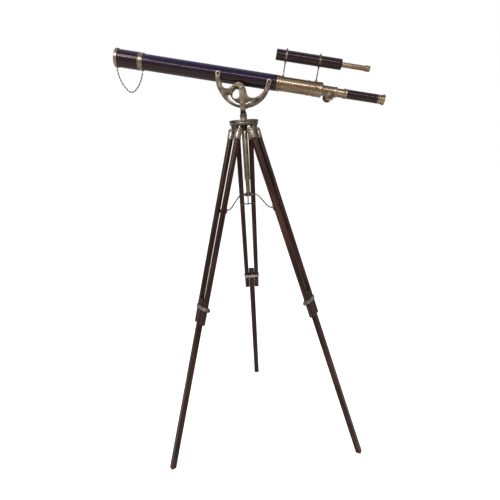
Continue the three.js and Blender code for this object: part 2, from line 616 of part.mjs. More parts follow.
function barrelTube() {
  const bandFront = -BAND_BACK - BAND_WIDTH;
  const tubeFront = -BAND_BACK - TUBE_IN_BAND;
  const hoodBack = bandFront - GAP;
  const hoodFront = hoodBack - HOOD_LENGTH;
  const capIn = hoodFront - GAP;
  const stud = (along, from) => barZ(-studReach, -from, EYE_STUD_R, 10).translate(along, 0, 0);

  add(barrel, 'main_tube', pipe(tubeFront, TUBE_BEHIND, TUBE_R, TUBE_R - TUBE_WALL), LEATHER);
  const bandR = TUBE_R + GAP + BAND_WALL;
  const band = turned([[bandFront, TUBE_R + GAP], [bandFront, bandR - 0.8], [bandFront + 1.5, bandR],
    [-BAND_BACK - 1.5, bandR], [-BAND_BACK, bandR - 0.8], [-BAND_BACK, TUBE_R + GAP]]);
  const bandStud = -BAND_BACK - BAND_STUD_AT;
  add(barrel, 'hood_band', join(band, stud(bandStud, TUBE_R + GAP + 1)), BRIGHT_BRASS);
  add(barrel, 'dew_hood', pipe(hoodFront, hoodBack, hoodR, hoodR - HOOD_WALL), LEATHER);

  const cellBack = tubeFront - GAP;
  const cellFront = cellBack - CELL_LENGTH;
  const lensR = TUBE_R - CELL_LIP - GAP;
  const seat = cellBack - CELL_LENGTH / 2;
  add(barrel, 'objective_cell', turned([[cellFront, lensR + GAP], [cellFront, TUBE_R], [cellBack, TUBE_R],
    [cellBack, lensR - LENS_LIP], [seat, lensR - LENS_LIP], [seat, lensR + GAP]]), BRASS);
  add(barrel, 'objective_lens', lensShape(seat - GAP - LENS_EDGE, lensR, LENS_EDGE, LENS_BULGE), GLASS);

  const dome = [[capIn - CAP_DISC - CAP_DOME, 0], [capIn - CAP_DISC - CAP_DOME * 0.75, capR * 0.5],
    [capIn - CAP_DISC - CAP_DOME * 0.3, capR * 0.83], [capIn - CAP_DISC, capR]];
  const skirt = hoodFront + CAP_OVERLAP;
  const cap = turned([...dome, [skirt, capR], [skirt, hoodR + GAP], [capIn, hoodR + GAP], [capIn, 0]]);
  const capStud = capIn + CAP_STUD_AT;
  add(barrel, 'lens_cap', join(cap, stud(capStud, hoodR + GAP + CAP_WALL / 4)), BRASS);

  const ringR = sleeveR + END_RING_PROUD;
  const ringBack = SLEEVE_END - END_RING;
  const collar = TUBE_BEHIND + GAP;
  add(barrel, 'rear_sleeve', turned([
    [TUBE_BEHIND - SLEEVE_IN_TUBE, sleeveIn], [TUBE_BEHIND - SLEEVE_IN_TUBE, sleeveR], [collar, sleeveR],
    [collar, TUBE_R], [collar + 5, TUBE_R + 0.6], [collar + 10, TUBE_R], [collar + COLLAR_RING, TUBE_R],
    [collar + COLLAR_RING, sleeveR], [ringBack, sleeveR], [ringBack, ringR - 0.6], [ringBack + 2, ringR],
    [SLEEVE_END - 2, ringR], [SLEEVE_END, ringR - 1], [SLEEVE_END, housingR + GAP],
    [SLEEVE_END - END_PLATE, housingR + GAP], [SLEEVE_END - END_PLATE, sleeveIn]]), BRIGHT_BRASS);

  add(barrel, 'cradle_plate_near', cradlePlate(-cradleOuter).translate(0, 0, -pivotDrop), BRASS);
  add(barrel, 'cradle_plate_far', cradlePlate(cradleInner).translate(0, 0, -pivotDrop), BRASS);
  return { capStud };
}

// ---------------------------------------------------------------- focuser and eyepiece

function focuser() {
  const flangeR = sleeveIn - GAP;
  const flangeBack = SLEEVE_END - END_PLATE - GAP;
  const rackR = DRAW_R + RACK_PROUD;
  const shaftDrop = rackR + GAP + PINION_R;
  const blockHalf = housingR + BLOCK_PROUD;
  const [ringWidth, ringHeight] = HOUSING_RING;
  const shell = turned([[flangeBack - HOUSING_FLANGE, 0], [flangeBack - HOUSING_FLANGE, flangeR],
    [flangeBack, flangeR], [flangeBack, housingR], [HOUSING_END - ringWidth - 1, housingR],
    [HOUSING_END - ringWidth, housingR + ringHeight], [HOUSING_END, housingR + ringHeight], [HOUSING_END, 0]]);
  const bearing = barY(-blockHalf, blockHalf, BLOCK_R, 16).translate(PINION_AT, 0, -shaftDrop);
  const web = block(-BLOCK_R, BLOCK_R, -blockHalf, blockHalf, -shaftDrop, -DRAW_R / 2).translate(PINION_AT, 0, 0);
  const bore = bar(flangeBack - HOUSING_FLANGE - 1, HOUSING_END + 1, DRAW_R + GAP, 24);
  const groove = block(flangeBack - HOUSING_FLANGE - 1, HOUSING_END + 1, -RACK_WIDTH / 2 - GAP, RACK_WIDTH / 2 + GAP,
    -rackR - 2 * GAP, 0);
  const shaftBore = barY(-blockHalf - 1, blockHalf + 1, SHAFT_R + GAP, 12).translate(PINION_AT, 0, -shaftDrop);
  const pocket = barY(-PINION_LENGTH / 2 - GAP, PINION_LENGTH / 2 + GAP, PINION_R + 2 * GAP, 16)
    .translate(PINION_AT, 0, -shaftDrop);
  add(barrel, 'focuser_housing', cut(join(shell, bearing, web), bore, groove, shaftBore, pocket), BRIGHT_BRASS);

  const drawIn = DRAW_R - DRAW_WALL;
  const ringFront = DRAW_END - DRAW_RING;
  const tube = turned([[DRAW_FRONT, drawIn], [DRAW_FRONT, DRAW_R], [ringFront, DRAW_R],
    [ringFront, DRAW_R + DRAW_RING_PROUD], [DRAW_END, DRAW_R + DRAW_RING_PROUD], [DRAW_END, drawIn]]);
  const rack = block(RACK_FROM, RACK_TO, -RACK_WIDTH / 2, RACK_WIDTH / 2, -rackR, -DRAW_R + DRAW_WALL / 2);
  add(barrel, 'draw_tube', join(tube, rack), BRIGHT_BRASS);

  const knobIn = blockHalf + GAP;
  const shaftEnd = knobIn + KNOB_THICK - 2.5;
  const shaft = turnedY([[-shaftEnd, 0], [-shaftEnd, SHAFT_R], [-PINION_LENGTH / 2, SHAFT_R],
    [-PINION_LENGTH / 2, PINION_R], [PINION_LENGTH / 2, PINION_R], [PINION_LENGTH / 2, SHAFT_R],
    [shaftEnd, SHAFT_R], [shaftEnd, 0]], 12);
  add(barrel, 'pinion_shaft', shaft.translate(PINION_AT, 0, -shaftDrop), STEEL);
  ['far', 'near'].forEach((side, i) => {
    const knob = turnedY([[knobIn, SHAFT_R + GAP], [knobIn, KNOB_R - 9], [knobIn + 2, KNOB_R - 8], [knobIn + 2, KNOB_R - 1],
      [knobIn + 3, KNOB_R], [knobIn + KNOB_THICK - 1, KNOB_R], [knobIn + KNOB_THICK, KNOB_R - 1.5],
      [knobIn + KNOB_THICK, 0], [shaftEnd + GAP, 0], [shaftEnd + GAP, SHAFT_R + GAP]], 20);
    if (i === 1) knob.rotateZ(Math.PI);
    add(barrel, `focus_knob_${side}`, knob.translate(PINION_AT, 0, -shaftDrop), BRASS);
  });

  const spigotR = drawIn - GAP;
  const eyeFront = DRAW_END + GAP;
  const lensSeat = EYEPIECE_END - EYE_LENS_THICK - 6;
  add(barrel, 'eyepiece_tube', turned([[DRAW_END - SPIGOT_LENGTH, EYE_BORE_R], [DRAW_END - SPIGOT_LENGTH, spigotR],
    [eyeFront, spigotR], [eyeFront, EYEPIECE_R], [EYEPIECE_END, EYEPIECE_R], [EYEPIECE_END, EYE_LENS_R + GAP],
    [lensSeat, EYE_LENS_R + GAP], [lensSeat, EYE_BORE_R]]), LEATHER);
  add(barrel, 'eye_lens', lensShape(lensSeat + GAP + 1, EYE_LENS_R, EYE_LENS_THICK - 1, 0.8), GLASS);
  const cupBack = EYEPIECE_END + GAP;
  const cupEnd = cupBack + EYECUP_LENGTH;
  add(barrel, 'eyecup', turned([[cupBack, EYE_BORE_R - 2], [cupBack, EYEPIECE_R + 0.5], [cupBack + 3, EYEPIECE_R + 0.5],
    [cupBack + 9, EYEPIECE_R - 0.7], [cupEnd, EYECUP_MOUTH_R], [cupEnd, EYECUP_MOUTH_R - 1.5],
    [cupBack + 10, EYEPIECE_R - 2.5], [cupBack + 4, EYE_LENS_R], [cupBack + 3, EYE_BORE_R - 2]]), BRIGHT_BRASS);
}

// ---------------------------------------------------------------- finder

function finder() {
  const back = FINDER_FRONT + FINDER_LENGTH;
  const bore = FINDER_R - FINDER_WALL;
  const scope = new THREE.Group();
  scope.position.z = FINDER_RISE;
  barrel.add(scope);
  add(scope, 'finder_tube', turned([[FINDER_FRONT, bore], [FINDER_FRONT, FINDER_R], [back, FINDER_R],
    [back, FINDER_DRAW_R + GAP], [back - 4, FINDER_DRAW_R + GAP], [back - 4, bore]], 24), LEATHER);
  add(scope, 'finder_lens', lensShape(FINDER_FRONT + 5, bore - GAP, 3, 1.2), GLASS);
  const tubeIn = FINDER_DRAW_R - 1.3;
  const eyeEnd = FINDER_DRAW_END + FINDER_EYE;
  add(scope, 'finder_draw_tube', turned([[back - FINDER_DRAW_INSIDE, tubeIn], [back - FINDER_DRAW_INSIDE, FINDER_DRAW_R],
    [FINDER_DRAW_END, FINDER_DRAW_R], [FINDER_DRAW_END, FINDER_EYE_R], [eyeEnd, FINDER_EYE_R],
    [eyeEnd, 5], [eyeEnd - 4, 5], [eyeEnd - 4, tubeIn]], 16), BRIGHT_BRASS);

  const ringIn = FINDER_R + GAP;
  const ringR = ringIn + FINDER_RING_WALL;
  const seats = [sleeveR, sleeveR + END_RING_PROUD];
  FINDER_RINGS.forEach((at, i) => {
    const seat = seats[i] + GAP - FINDER_RISE;
    const ring = pipe(-FINDER_RING / 2, FINDER_RING / 2, ringR, ringIn, 24);
    const post = barZ(seat + 1, -ringR + 1, POST_R, 12);
    const foot = barZ(seat - 3, seat + 4, POST_FOOT_R, 12);
    const nub = barZ(ringR - 1, ringR + 5, 2.2, 8);
    const saddle = bar(-20, 20, seats[i] + GAP, 40).translate(0, 0, -FINDER_RISE);
    const bracket = cut(join(ring, post, foot, nub), saddle);
    add(scope, `finder_ring_${i ? 'rear' : 'front'}`, bracket.translate(at, 0, 0), BRASS);
  });
}

// ---------------------------------------------------------------- chain

function capChain(capStud) {
  group.updateMatrixWorld(true);
  const start = barrel.localToWorld(new THREE.Vector3(capStud, 0, -studReach));
  start.z -= CHAIN_DROP;
  const route = CHAIN_ROUTE.map(([along, up]) => new THREE.Vector3(start.x + along, 0, start.z + up));
  add(group, 'cap_chain', alongPath(new THREE.CatmullRomCurve3(route), CHAIN_R, 8, 26), STEEL);
}

// ---------------------------------------------------------------- whole object

tripodHead();
legs();
spreader();
fork();
const { capStud } = barrelTube();
focuser();
finder();

// the middle of the footprint goes to the origin, measured without the hanging chain
group.updateMatrixWorld(true);
const extent = new THREE.Box3().setFromObject(group, true);
capChain(capStud);
group.position.set(-(extent.min.x + extent.max.x) / 2, -(extent.min.y + extent.max.y) / 2, -extent.min.z);
group.updateMatrixWorld(true);

export default group;
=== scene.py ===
"""Leather-wrapped brass refractor with its finder, on a fork head and a folding wooden tripod.

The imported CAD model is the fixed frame. Every visible part is modelled here in fine detail, in
millimetres in its own local frame, then placed in metres in the CAD part's space.
"""
import json
from math import atan2, cos, degrees, pi, radians, sin

import bmesh
import bpy
from mathutils import Matrix, Vector


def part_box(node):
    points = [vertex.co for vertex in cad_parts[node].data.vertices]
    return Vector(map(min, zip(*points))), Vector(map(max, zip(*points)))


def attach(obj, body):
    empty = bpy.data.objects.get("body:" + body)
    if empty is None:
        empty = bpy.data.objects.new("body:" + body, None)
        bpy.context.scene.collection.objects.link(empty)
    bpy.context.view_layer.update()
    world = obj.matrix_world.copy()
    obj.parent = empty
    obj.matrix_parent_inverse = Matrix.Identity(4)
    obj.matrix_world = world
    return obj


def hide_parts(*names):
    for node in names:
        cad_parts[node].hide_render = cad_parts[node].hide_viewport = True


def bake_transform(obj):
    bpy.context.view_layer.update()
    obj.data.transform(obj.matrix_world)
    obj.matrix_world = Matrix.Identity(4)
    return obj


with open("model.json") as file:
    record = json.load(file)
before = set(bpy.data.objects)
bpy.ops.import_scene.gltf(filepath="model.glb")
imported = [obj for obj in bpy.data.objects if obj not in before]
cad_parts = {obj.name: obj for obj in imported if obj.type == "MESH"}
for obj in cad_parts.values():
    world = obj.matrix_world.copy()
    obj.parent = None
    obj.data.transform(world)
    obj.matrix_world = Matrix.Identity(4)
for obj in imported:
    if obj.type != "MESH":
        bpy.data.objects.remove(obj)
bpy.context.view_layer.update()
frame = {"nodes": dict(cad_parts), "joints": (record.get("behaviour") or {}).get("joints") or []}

MM = 0.001
LEGS = (1, 2, 3)
CLEAR = 0.3                                      # clearance between neighbouring pieces
joints = {joint["name"]: joint for joint in frame["joints"]}


# ------------------------------------------------------------------ local frames from the CAD model

def axes_matrix(origin, x, y, z):
    """Local millimetres to metres in the row frame."""
    turn = Matrix((x, y, z)).transposed().to_4x4()
    return Matrix.Translation(origin) @ turn @ Matrix.Scale(MM, 4)


def middle(node):
    low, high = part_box(node)
    return (low + high) / 2


def joint_at(name):
    return Vector(joints[name]["pos_m"])


def joint_axis(name):
    return Vector(joints[name]["axis"])


AXIS = middle("centre_rod")                      # a point on the tripod's upright axis
PIVOT = joint_at("altitude_tilt")
ALONG = -joint_axis("cap_pull")                  # barrel axis, towards the eyepiece
SIDE = Vector((0, 1, 0))
UP = Vector((0, 0, 1))
RISE = ALONG.cross(SIDE)                         # across the barrel, upwards
TUBE_MIDDLE = middle("main_tube")
CRADLE = TUBE_MIDDLE + ALONG * (PIVOT - TUBE_MIDDLE).dot(ALONG)   # on the barrel's axis over the pivot
PIVOT_DROP = (CRADLE - PIVOT).length / MM
UPRIGHT = (Vector((1, 0, 0)), SIDE, UP)

BARREL = axes_matrix(CRADLE, ALONG, SIDE, RISE)
FINDER_RISE = (middle("finder_tube") - TUBE_MIDDLE).dot(RISE) / MM
FINDER = axes_matrix(CRADLE + RISE * FINDER_RISE * MM, ALONG, SIDE, RISE)
PINION = axes_matrix(joint_at("focus_turn"), ALONG, SIDE, RISE)
TILT = axes_matrix(PIVOT, ALONG, SIDE, RISE)     # about the pivot, turning with the barrel
FORK = axes_matrix(PIVOT, *UPRIGHT)              # about the pivot, level
LOCK = axes_matrix(joint_at("lock_nut_turn"), *UPRIGHT)


def level(z):
    return axes_matrix(Vector((AXIS.x, AXIS.y, z)), *UPRIGHT)


def leg_axes(number):
    """Outward, along the hinge pin, and up along the leg."""
    across, up = joint_axis(f"leg_{number}_fold"), joint_axis(f"leg_{number}_slide")
    return across.cross(up), across, up


def leg_matrix(number):
    return axes_matrix(joint_at(f"leg_{number}_fold"), *leg_axes(number))


def ends(node, matrix=BARREL):
    """Where a round node starts and stops along its axis, in the local frame's millimetres."""
    inverse = matrix.inverted()
    along = [(inverse @ vertex.co).x for vertex in frame["nodes"][node].data.vertices]
    return min(along), max(along)


def stack(node):
    """The bottom of a node on the tripod's axis in metres, and its height in millimetres."""
    low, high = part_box(node)
    return low.z, (high.z - low.z) / MM


def around(point):
    """A point's distance from the tripod's axis in millimetres, and its direction in degrees."""
    spot = point - Vector((AXIS.x, AXIS.y, point.z))
    return spot.length / MM, degrees(atan2(spot.y, spot.x))


# ------------------------------------------------------------------ sizes in millimetres

TUBE_R = 27.8
HOOD_R = TUBE_R + 2.8
SLEEVE_R = TUBE_R - 2.5
HOUSING_R = 17.75                                # the focuser housing inside the rear sleeve
DRAW_R = 15.0
EYEPIECE_R = 16.2
FINDER_R = 18.8
SPINDLE_BORE = 7.3                               # through the azimuth collar and the head's discs


# ------------------------------------------------------------------ camera

FOCAL_SHARE = 0.7807                             # focal length over the image width
SENSOR = 36.0
CAMERA_FROM_AXIS = Vector((0.0418, -1.5363, 1.2121))
CAMERA_YAW, CAMERA_PITCH, CAMERA_ROLL = (radians(a) for a in (-1.826, -14.318, -3.608))


def make_camera():
    flat = cos(CAMERA_PITCH)
    forward = Vector((sin(CAMERA_YAW) * flat, cos(CAMERA_YAW) * flat, sin(CAMERA_PITCH)))
    right = Vector((cos(CAMERA_YAW), -sin(CAMERA_YAW), 0))
    up = right.cross(forward)
    turned_right = right * cos(CAMERA_ROLL) + up * sin(CAMERA_ROLL)
    turned_up = up * cos(CAMERA_ROLL) - right * sin(CAMERA_ROLL)
    camera = bpy.data.objects.new("camera", bpy.data.cameras.new("camera"))
    camera.data.sensor_width = SENSOR
    camera.data.lens = SENSOR * FOCAL_SHARE
    camera.data.clip_end = 100
    turn = Matrix((turned_right, turned_up, -forward)).transposed().to_4x4()
    camera.matrix_world = Matrix.Translation(Vector((AXIS.x, AXIS.y, 0)) + CAMERA_FROM_AXIS) @ turn
    bpy.context.scene.collection.objects.link(camera)
    bpy.context.scene.camera = camera


make_camera()


# ------------------------------------------------------------------ materials

def linear(hex_colour):
    channels = [int(hex_colour[i:i + 2], 16) / 255 for i in (1, 3, 5)]
    return [c / 12.92 if c <= 0.04045 else ((c + 0.055) / 1.055) ** 2.4 for c in channels] + [1.0]


def set_inputs(tree, node, inputs):
    """Sets a node's own sockets to values, or links them to other sockets."""
    for name, value in inputs.items():
        if isinstance(value, bpy.types.NodeSocket):
            tree.links.new(value, node.inputs[name])
        else:
            node.inputs[name].default_value = value


def add_node(tree, kind, output, inputs=None, settings=None, stops=()):
    """Adds a node with its settings, its inputs set or linked, and a ramp's stops. Gives one output."""
    node = tree.nodes.new("ShaderNode" + kind)
    for name, value in (settings or {}).items():
        setattr(node, name, value)
    set_inputs(tree, node, inputs or {})
    elements = node.color_ramp.elements if stops else []
    while len(elements) < len(stops):
        elements.new(0.5)
    for element, (position, colour) in zip(elements, stops):
        element.position = position
        element.color = colour if isinstance(colour, list) else [colour, colour, colour, 1]
    return node.outputs[output]


def start_material(name, matrix=None):
    """The material, its node tree, its shader, and coordinates in millimetres along the local frame."""
    material = bpy.data.materials.new(name)
    material.use_nodes = True
    tree = material.node_tree
    origin, turn = (matrix or axes_matrix(Vector(), *UPRIGHT)).decompose()[:2]
    at = add_node(tree, "Mapping", "Vector", {
        "Vector": add_node(tree, "TexCoord", "Object"), "Location": origin, "Rotation": turn.to_euler(),
        "Scale": (MM, MM, MM)}, {"vector_type": "TEXTURE"})
    return material, tree, tree.nodes["Principled BSDF"], at


def antiqued_brass(name, dark, mid, light, rough, matrix=None, turned_marks=False):
    """Cast or turned brass, chemically darkened and hand rubbed: grey-brown patina in blotches,
    paler metal on its corners, and a satin surface with lathe marks or a sand-cast skin."""
    material, tree, shader, at = start_material(name, matrix)
    if turned_marks:
        # Lathe marks run round the axis, about half a millimetre apart, drawn at 1.2 mm.
        skin_size, skin_detail, skin_crispness, skin_drawn = 1.2, 2, 0.5, (1, 60, 60)
        relief, strength = 0.03, 0.15
        drawn, detail, crispness, mottling, shift, spread = (5, 1, 1), 3, 0.5, 0.2, -0.12, 0.02
    else:
        # The fine sand-cast skin is drawn at 2.5 mm.
        skin_size, skin_detail, skin_crispness, skin_drawn = 2.5, 4, 0.6, (1, 1, 1)
        relief, strength = 0.1, 0.45
        drawn, detail, crispness, mottling, shift, spread = (1, 1, 1), 4, 0.6, 0.45, 0.0, 0.08
    skin_at = add_node(tree, "VectorMath", 0, {0: at, 1: skin_drawn}, {"operation": "DIVIDE"})
    skin = add_node(tree, "TexNoise", "Fac", {
        "Vector": skin_at, "Scale": 1 / skin_size, "Detail": skin_detail, "Roughness": skin_crispness})
    drawn_at = add_node(tree, "VectorMath", 0, {0: at, 1: drawn}, {"operation": "DIVIDE"})
    mottle = add_node(tree, "TexNoise", "Fac", {
        "Vector": drawn_at, "Scale": 1 / 4.5, "Detail": 5, "Roughness": 0.65})
    blotches = add_node(tree, "TexNoise", "Fac", {
        "Vector": drawn_at, "Scale": 1 / 26, "Detail": detail, "Roughness": crispness})
    mixed = add_node(tree, "Math", 0, {0: mottle, 1: mottling, 2: blotches}, {"operation": "MULTIPLY_ADD"})
    colour = add_node(tree, "ValToRGB", "Color", {"Fac": mixed}, stops=[
        (0.5 + shift, linear(dark)), (0.7 + shift, linear(mid)), (0.92 + shift, linear(light))])
    # Convex corners are rubbed and show paler metal.
    worn = add_node(tree, "ValToRGB", "Color", {"Fac": add_node(tree, "NewGeometry", "Pointiness")},
                    stops=[(0.52, 0.0), (0.6, 0.6)])
    set_inputs(tree, shader, {
        "Base Color": add_node(tree, "Mix", 2, {"Factor": worn, 6: colour, 7: linear(light)},
                               {"data_type": "RGBA"}),
        "Metallic": 1.0,
        "Roughness": add_node(tree, "ValToRGB", "Color", {"Fac": mottle}, stops=[
            (0.3, rough + spread), (0.75, rough - spread)]),
        "Normal": add_node(tree, "Bump", "Normal", {
            "Height": skin, "Distance": relief * MM, "Strength": strength})})
    return material


def glazed_leather(name, upper, lower, warm, matrix, radius):
    """Calf leather wrapped on the tubes and glazed, dark red brown, with a fine pebbled grain under the
    gloss. A violet black is painted into the colour along the tube's top as a painted reflection of light
    from above, fading out by the lower side."""
    material, tree, shader, at = start_material(name, matrix)
    # Painted reflection: the mask rises with height on the tube, so the top is painted violet black to stand
    # in for light reflected from above.
    height = add_node(tree, "SeparateXYZ", "Z", {0: at})
    share = add_node(tree, "Math", 0, {0: height, 1: 0.5 / radius, 2: 0.5}, {"operation": "MULTIPLY_ADD"})
    painted_violet_reflection = add_node(tree, "ValToRGB", "Color", {"Fac": share}, stops=[(0.3, 0.0), (0.62, 1.0)])
    drawn_at = add_node(tree, "VectorMath", 0, {0: at, 1: (2.2, 1, 1)}, {"operation": "DIVIDE"})
    cloud = add_node(tree, "TexNoise", "Fac", {
        "Vector": drawn_at, "Scale": 1 / 38, "Detail": 4, "Roughness": 0.6})
    brown = add_node(tree, "ValToRGB", "Color", {"Fac": cloud}, stops=[
        (0.4, linear(lower)), (0.7, linear(warm))])
    # Pebbles are under a millimetre across, drawn at 2.2 mm.
    pebbles = add_node(tree, "TexVoronoi", "Distance", {
        "Vector": at, "Scale": 1 / 2.2, "Smoothness": 0.6}, {"feature": "SMOOTH_F1"})
    round_at = add_node(tree, "VectorMath", 0, {0: at, 1: (1, 2.5, 2.5)}, {"operation": "DIVIDE"})
    creases = add_node(tree, "TexNoise", "Fac", {
        "Vector": round_at, "Scale": 1 / 9, "Detail": 4, "Roughness": 0.6})
    relief = add_node(tree, "Math", 0, {0: creases, 1: 0.5, 2: pebbles}, {"operation": "MULTIPLY_ADD"})
    set_inputs(tree, shader, {
        # The base colour is the brown leather, with the painted violet reflection laid over its upper side.
        "Base Color": add_node(tree, "Mix", 2, {"Factor": painted_violet_reflection, 6: brown, 7: linear(upper)},
                               {"data_type": "RGBA"}),
        "Roughness": add_node(tree, "ValToRGB", "Color", {"Fac": creases}, stops=[(0.3, 0.26), (0.7, 0.34)]),
        "IOR": 1.32, "Specular Tint": linear("#c8a8b4"), "Coat Weight": 0.35, "Coat Roughness": 0.07,
        "Normal": add_node(tree, "Bump", "Normal", {
            "Height": relief, "Distance": 0.05 * MM, "Strength": 0.22})})
    return material


def stained_wood(name, dark, mid, light, matrix):
    """Close-grained hardwood, stained dark reddish brown and varnished: grain lines run along the
    leg, 1 to 3 mm apart, with longer bands of lighter stain, under a satin varnish."""
    material, tree, shader, at = start_material(name, matrix)
    fibre_at = add_node(tree, "VectorMath", 0, {0: at, 1: (1, 1, 45)}, {"operation": "DIVIDE"})
    fibres = add_node(tree, "TexNoise", "Fac", {
        "Vector": fibre_at, "Scale": 1 / 1.9, "Detail": 4, "Roughness": 0.6})
    band_at = add_node(tree, "VectorMath", 0, {0: at, 1: (1, 1, 16)}, {"operation": "DIVIDE"})
    bands = add_node(tree, "TexNoise", "Fac", {
        "Vector": band_at, "Scale": 1 / 14, "Detail": 3, "Roughness": 0.55})
    mixed = add_node(tree, "Math", 0, {0: fibres, 1: 0.7, 2: bands}, {"operation": "MULTIPLY_ADD"})
    set_inputs(tree, shader, {
        "Base Color": add_node(tree, "ValToRGB", "Color", {"Fac": mixed}, stops=[
            (0.62, linear(dark)), (0.84, linear(mid)), (1.0, linear(light))]),
        "Roughness": add_node(tree, "ValToRGB", "Color", {"Fac": fibres}, stops=[(0.35, 0.34), (0.7, 0.5)]),
        "IOR": 1.34, "Specular Tint": linear("#d8b0a0"), "Coat Weight": 0.12, "Coat Roughness": 0.2,
        "Normal": add_node(tree, "Bump", "Normal", {
            "Height": fibres, "Distance": 0.1 * MM, "Strength": 0.4})})
    return material


def dark_nickel(name):
    """Plated steel wire links, tarnished: mid grey with brighter rubbed bows."""
    material, tree, shader, at = start_material(name)
    tarnish = add_node(tree, "TexNoise", "Fac", {
        "Vector": at, "Scale": 1 / 3.5, "Detail": 3, "Roughness": 0.55})
    set_inputs(tree, shader, {
        "Base Color": add_node(tree, "ValToRGB", "Color", {"Fac": tarnish}, stops=[
            (0.35, linear("#35342f")), (0.65, linear("#8a8880"))]),
        "Metallic": 1.0, "Roughness": 0.32})
    return material


def coated_glass(name):
    """Crown glass lens: clear, with a faint cool cast from its coating."""
    material, tree, shader, at = start_material(name)
    film = add_node(tree, "TexNoise", "Fac", {"Vector": at, "Scale": 1 / 40, "Detail": 2, "Roughness": 0.55})
    set_inputs(tree, shader, {
        "Base Color": add_node(tree, "ValToRGB", "Color", {"Fac": film}, stops=[
            (0.3, linear("#d6e6ec")), (0.7, linear("#e6eef6"))]),
        "Transmission Weight": 1.0, "Roughness": 0.02, "IOR": 1.52})
    return material


def blackened_brass(name):
    """Brass blackened in acid: the screws and the lens cell."""
    material, tree, shader, at = start_material(name)
    patches = add_node(tree, "TexNoise", "Fac", {
        "Vector": at, "Scale": 1 / 5, "Detail": 4, "Roughness": 0.55})
    skin = add_node(tree, "TexNoise", "Fac", {"Vector": at, "Scale": 1 / 2, "Detail": 3, "Roughness": 0.55})
    set_inputs(tree, shader, {
        "Base Color": add_node(tree, "ValToRGB", "Color", {"Fac": patches}, stops=[
            (0.35, linear("#171310")), (0.7, linear("#3a3027"))]),
        "Metallic": 0.8, "Roughness": 0.5,
        "Normal": add_node(tree, "Bump", "Normal", {"Height": skin, "Distance": 0.08 * MM, "Strength": 0.5})})
    return material


CAST_BRASS = antiqued_brass("antiqued cast brass", "#40372e", "#645749", "#978a7b", 0.4)
DARK_BRASS = antiqued_brass("dark cast brass", "#24221e", "#3e3a34", "#6e6960", 0.42)
HEAD_BRASS = antiqued_brass("greened cast brass", "#36322c", "#5f5850", "#9c9182", 0.36)
BARREL_BRASS = antiqued_brass("antiqued turned brass", "#5f4f3c", "#86715a", "#a8937a", 0.3, BARREL, True)
BAND_BRASS = antiqued_brass("pale turned brass", "#655a4c", "#8b7d6c", "#b0a290", 0.32, BARREL, True)
FERRULE_BRASS = antiqued_brass("rubbed cast brass", "#5a5148", "#8b8074", "#bdb2a4", 0.34)
ROD_BRASS = antiqued_brass("olive drawn brass", "#544a3a", "#7d6f58", "#a39478", 0.34)
BLACK_BRASS = blackened_brass("blackened brass")
# Each leather's first colour is a painted violet reflection along its upper side; the other two are the
# leather's own browns.
TUBE_LEATHER = glazed_leather("glazed brown leather, painted violet reflection", "#151029", "#1d100e", "#281712", BARREL, TUBE_R)
HOOD_LEATHER = glazed_leather("glazed red-brown leather", "#1f0d21", "#20100e", "#2c1812", BARREL, HOOD_R)
EYEPIECE_LEATHER = glazed_leather("glazed dark brown leather", "#1c1016", "#1e100e", "#2a1812", BARREL,
                                  EYEPIECE_R)
FINDER_LEATHER = glazed_leather("glazed oxblood leather", "#1d0e15", "#1f100e", "#2a1813", FINDER, FINDER_R)
CHAIN_NICKEL = dark_nickel("tarnished nickel")
LENS_GLASS = coated_glass("coated crown glass")
LEG_WOOD = {n: stained_wood(f"stained varnished wood, leg {n}", "#170c09", "#2b1914", "#4a2e26",
                            leg_matrix(n)) for n in LEGS}


# ------------------------------------------------------------------ modelling tools

STANDING = {"x": Matrix(), "y": Matrix.Rotation(pi / 2, 4, "Z"), "z": Matrix.Rotation(-pi / 2, 4, "Y")}
PLANES = {"xz": ((1, 0, 0), (0, 0, 1), (0, -1, 0)), "yz": ((0, 1, 0), (0, 0, 1), (1, 0, 0)),
          "xy": ((1, 0, 0), (0, 1, 0), (0, 0, 1))}
HARD_ANGLE = radians(38)                         # sharper edges aren't shaded smooth


def turn_to(bm, axis):
    """Turns a body made about X to stand on another axis."""
    bmesh.ops.transform(bm, matrix=STANDING[axis], verts=bm.verts)
    return bm


def spun(profile, steps, axis="x"):
    """A body of revolution about an axis. The profile is a list of (along, radius)."""
    bm = bmesh.new()
    verts = [bm.verts.new((along, 0, radius)) for along, radius in profile]
    pairs = list(zip(verts, verts[1:]))
    if profile[0][1] > 0 or profile[-1][1] > 0:
        pairs.append((verts[-1], verts[0]))
    edges = [bm.edges.new(pair) for pair in pairs]
    bmesh.ops.spin(bm, geom=verts + edges, cent=(0, 0, 0), axis=(1, 0, 0), angle=2 * pi, steps=steps,
                   use_merge=True)
    bmesh.ops.remove_doubles(bm, verts=bm.verts, dist=1e-4)
    bmesh.ops.dissolve_degenerate(bm, edges=bm.edges, dist=1e-5)
    bmesh.ops.recalc_face_normals(bm, faces=bm.faces)
    return turn_to(bm, axis)


def shifted(along, radius, points):
    """Profile points that are given from a station and a radius."""
    return [(along + x, radius + y) for x, y in points]


def pin(low, high, radius, axis="x", round_end=0.6, steps=32):
    """A solid round pin with rounded ends."""
    r = min(round_end, radius * 0.9, (high - low) / 2.1)
    profile = [(low, 0), (low, radius - r), (low + r * 0.3, radius - r * 0.3), (low + r, radius),
               (high - r, radius), (high - r * 0.3, radius - r * 0.3), (high, radius - r), (high, 0)]
    return spun(profile, steps, axis)


def brick(low, high, rounding):
    """A box between two corners with rounded edges."""
    bm = bmesh.new()
    bmesh.ops.create_cube(bm, size=1)
    low, high = Vector(low), Vector(high)
    size = high - low
    place = Matrix.Translation((low + high) / 2) @ Matrix.Diagonal((*size, 1))
    bmesh.ops.transform(bm, matrix=place, verts=bm.verts)
    bmesh.ops.bevel(bm, geom=list(bm.edges), offset=min(rounding, min(size) * 0.45), offset_type="OFFSET",
                    segments=3, profile=0.5, affect="EDGES", material=-1)
    return bm


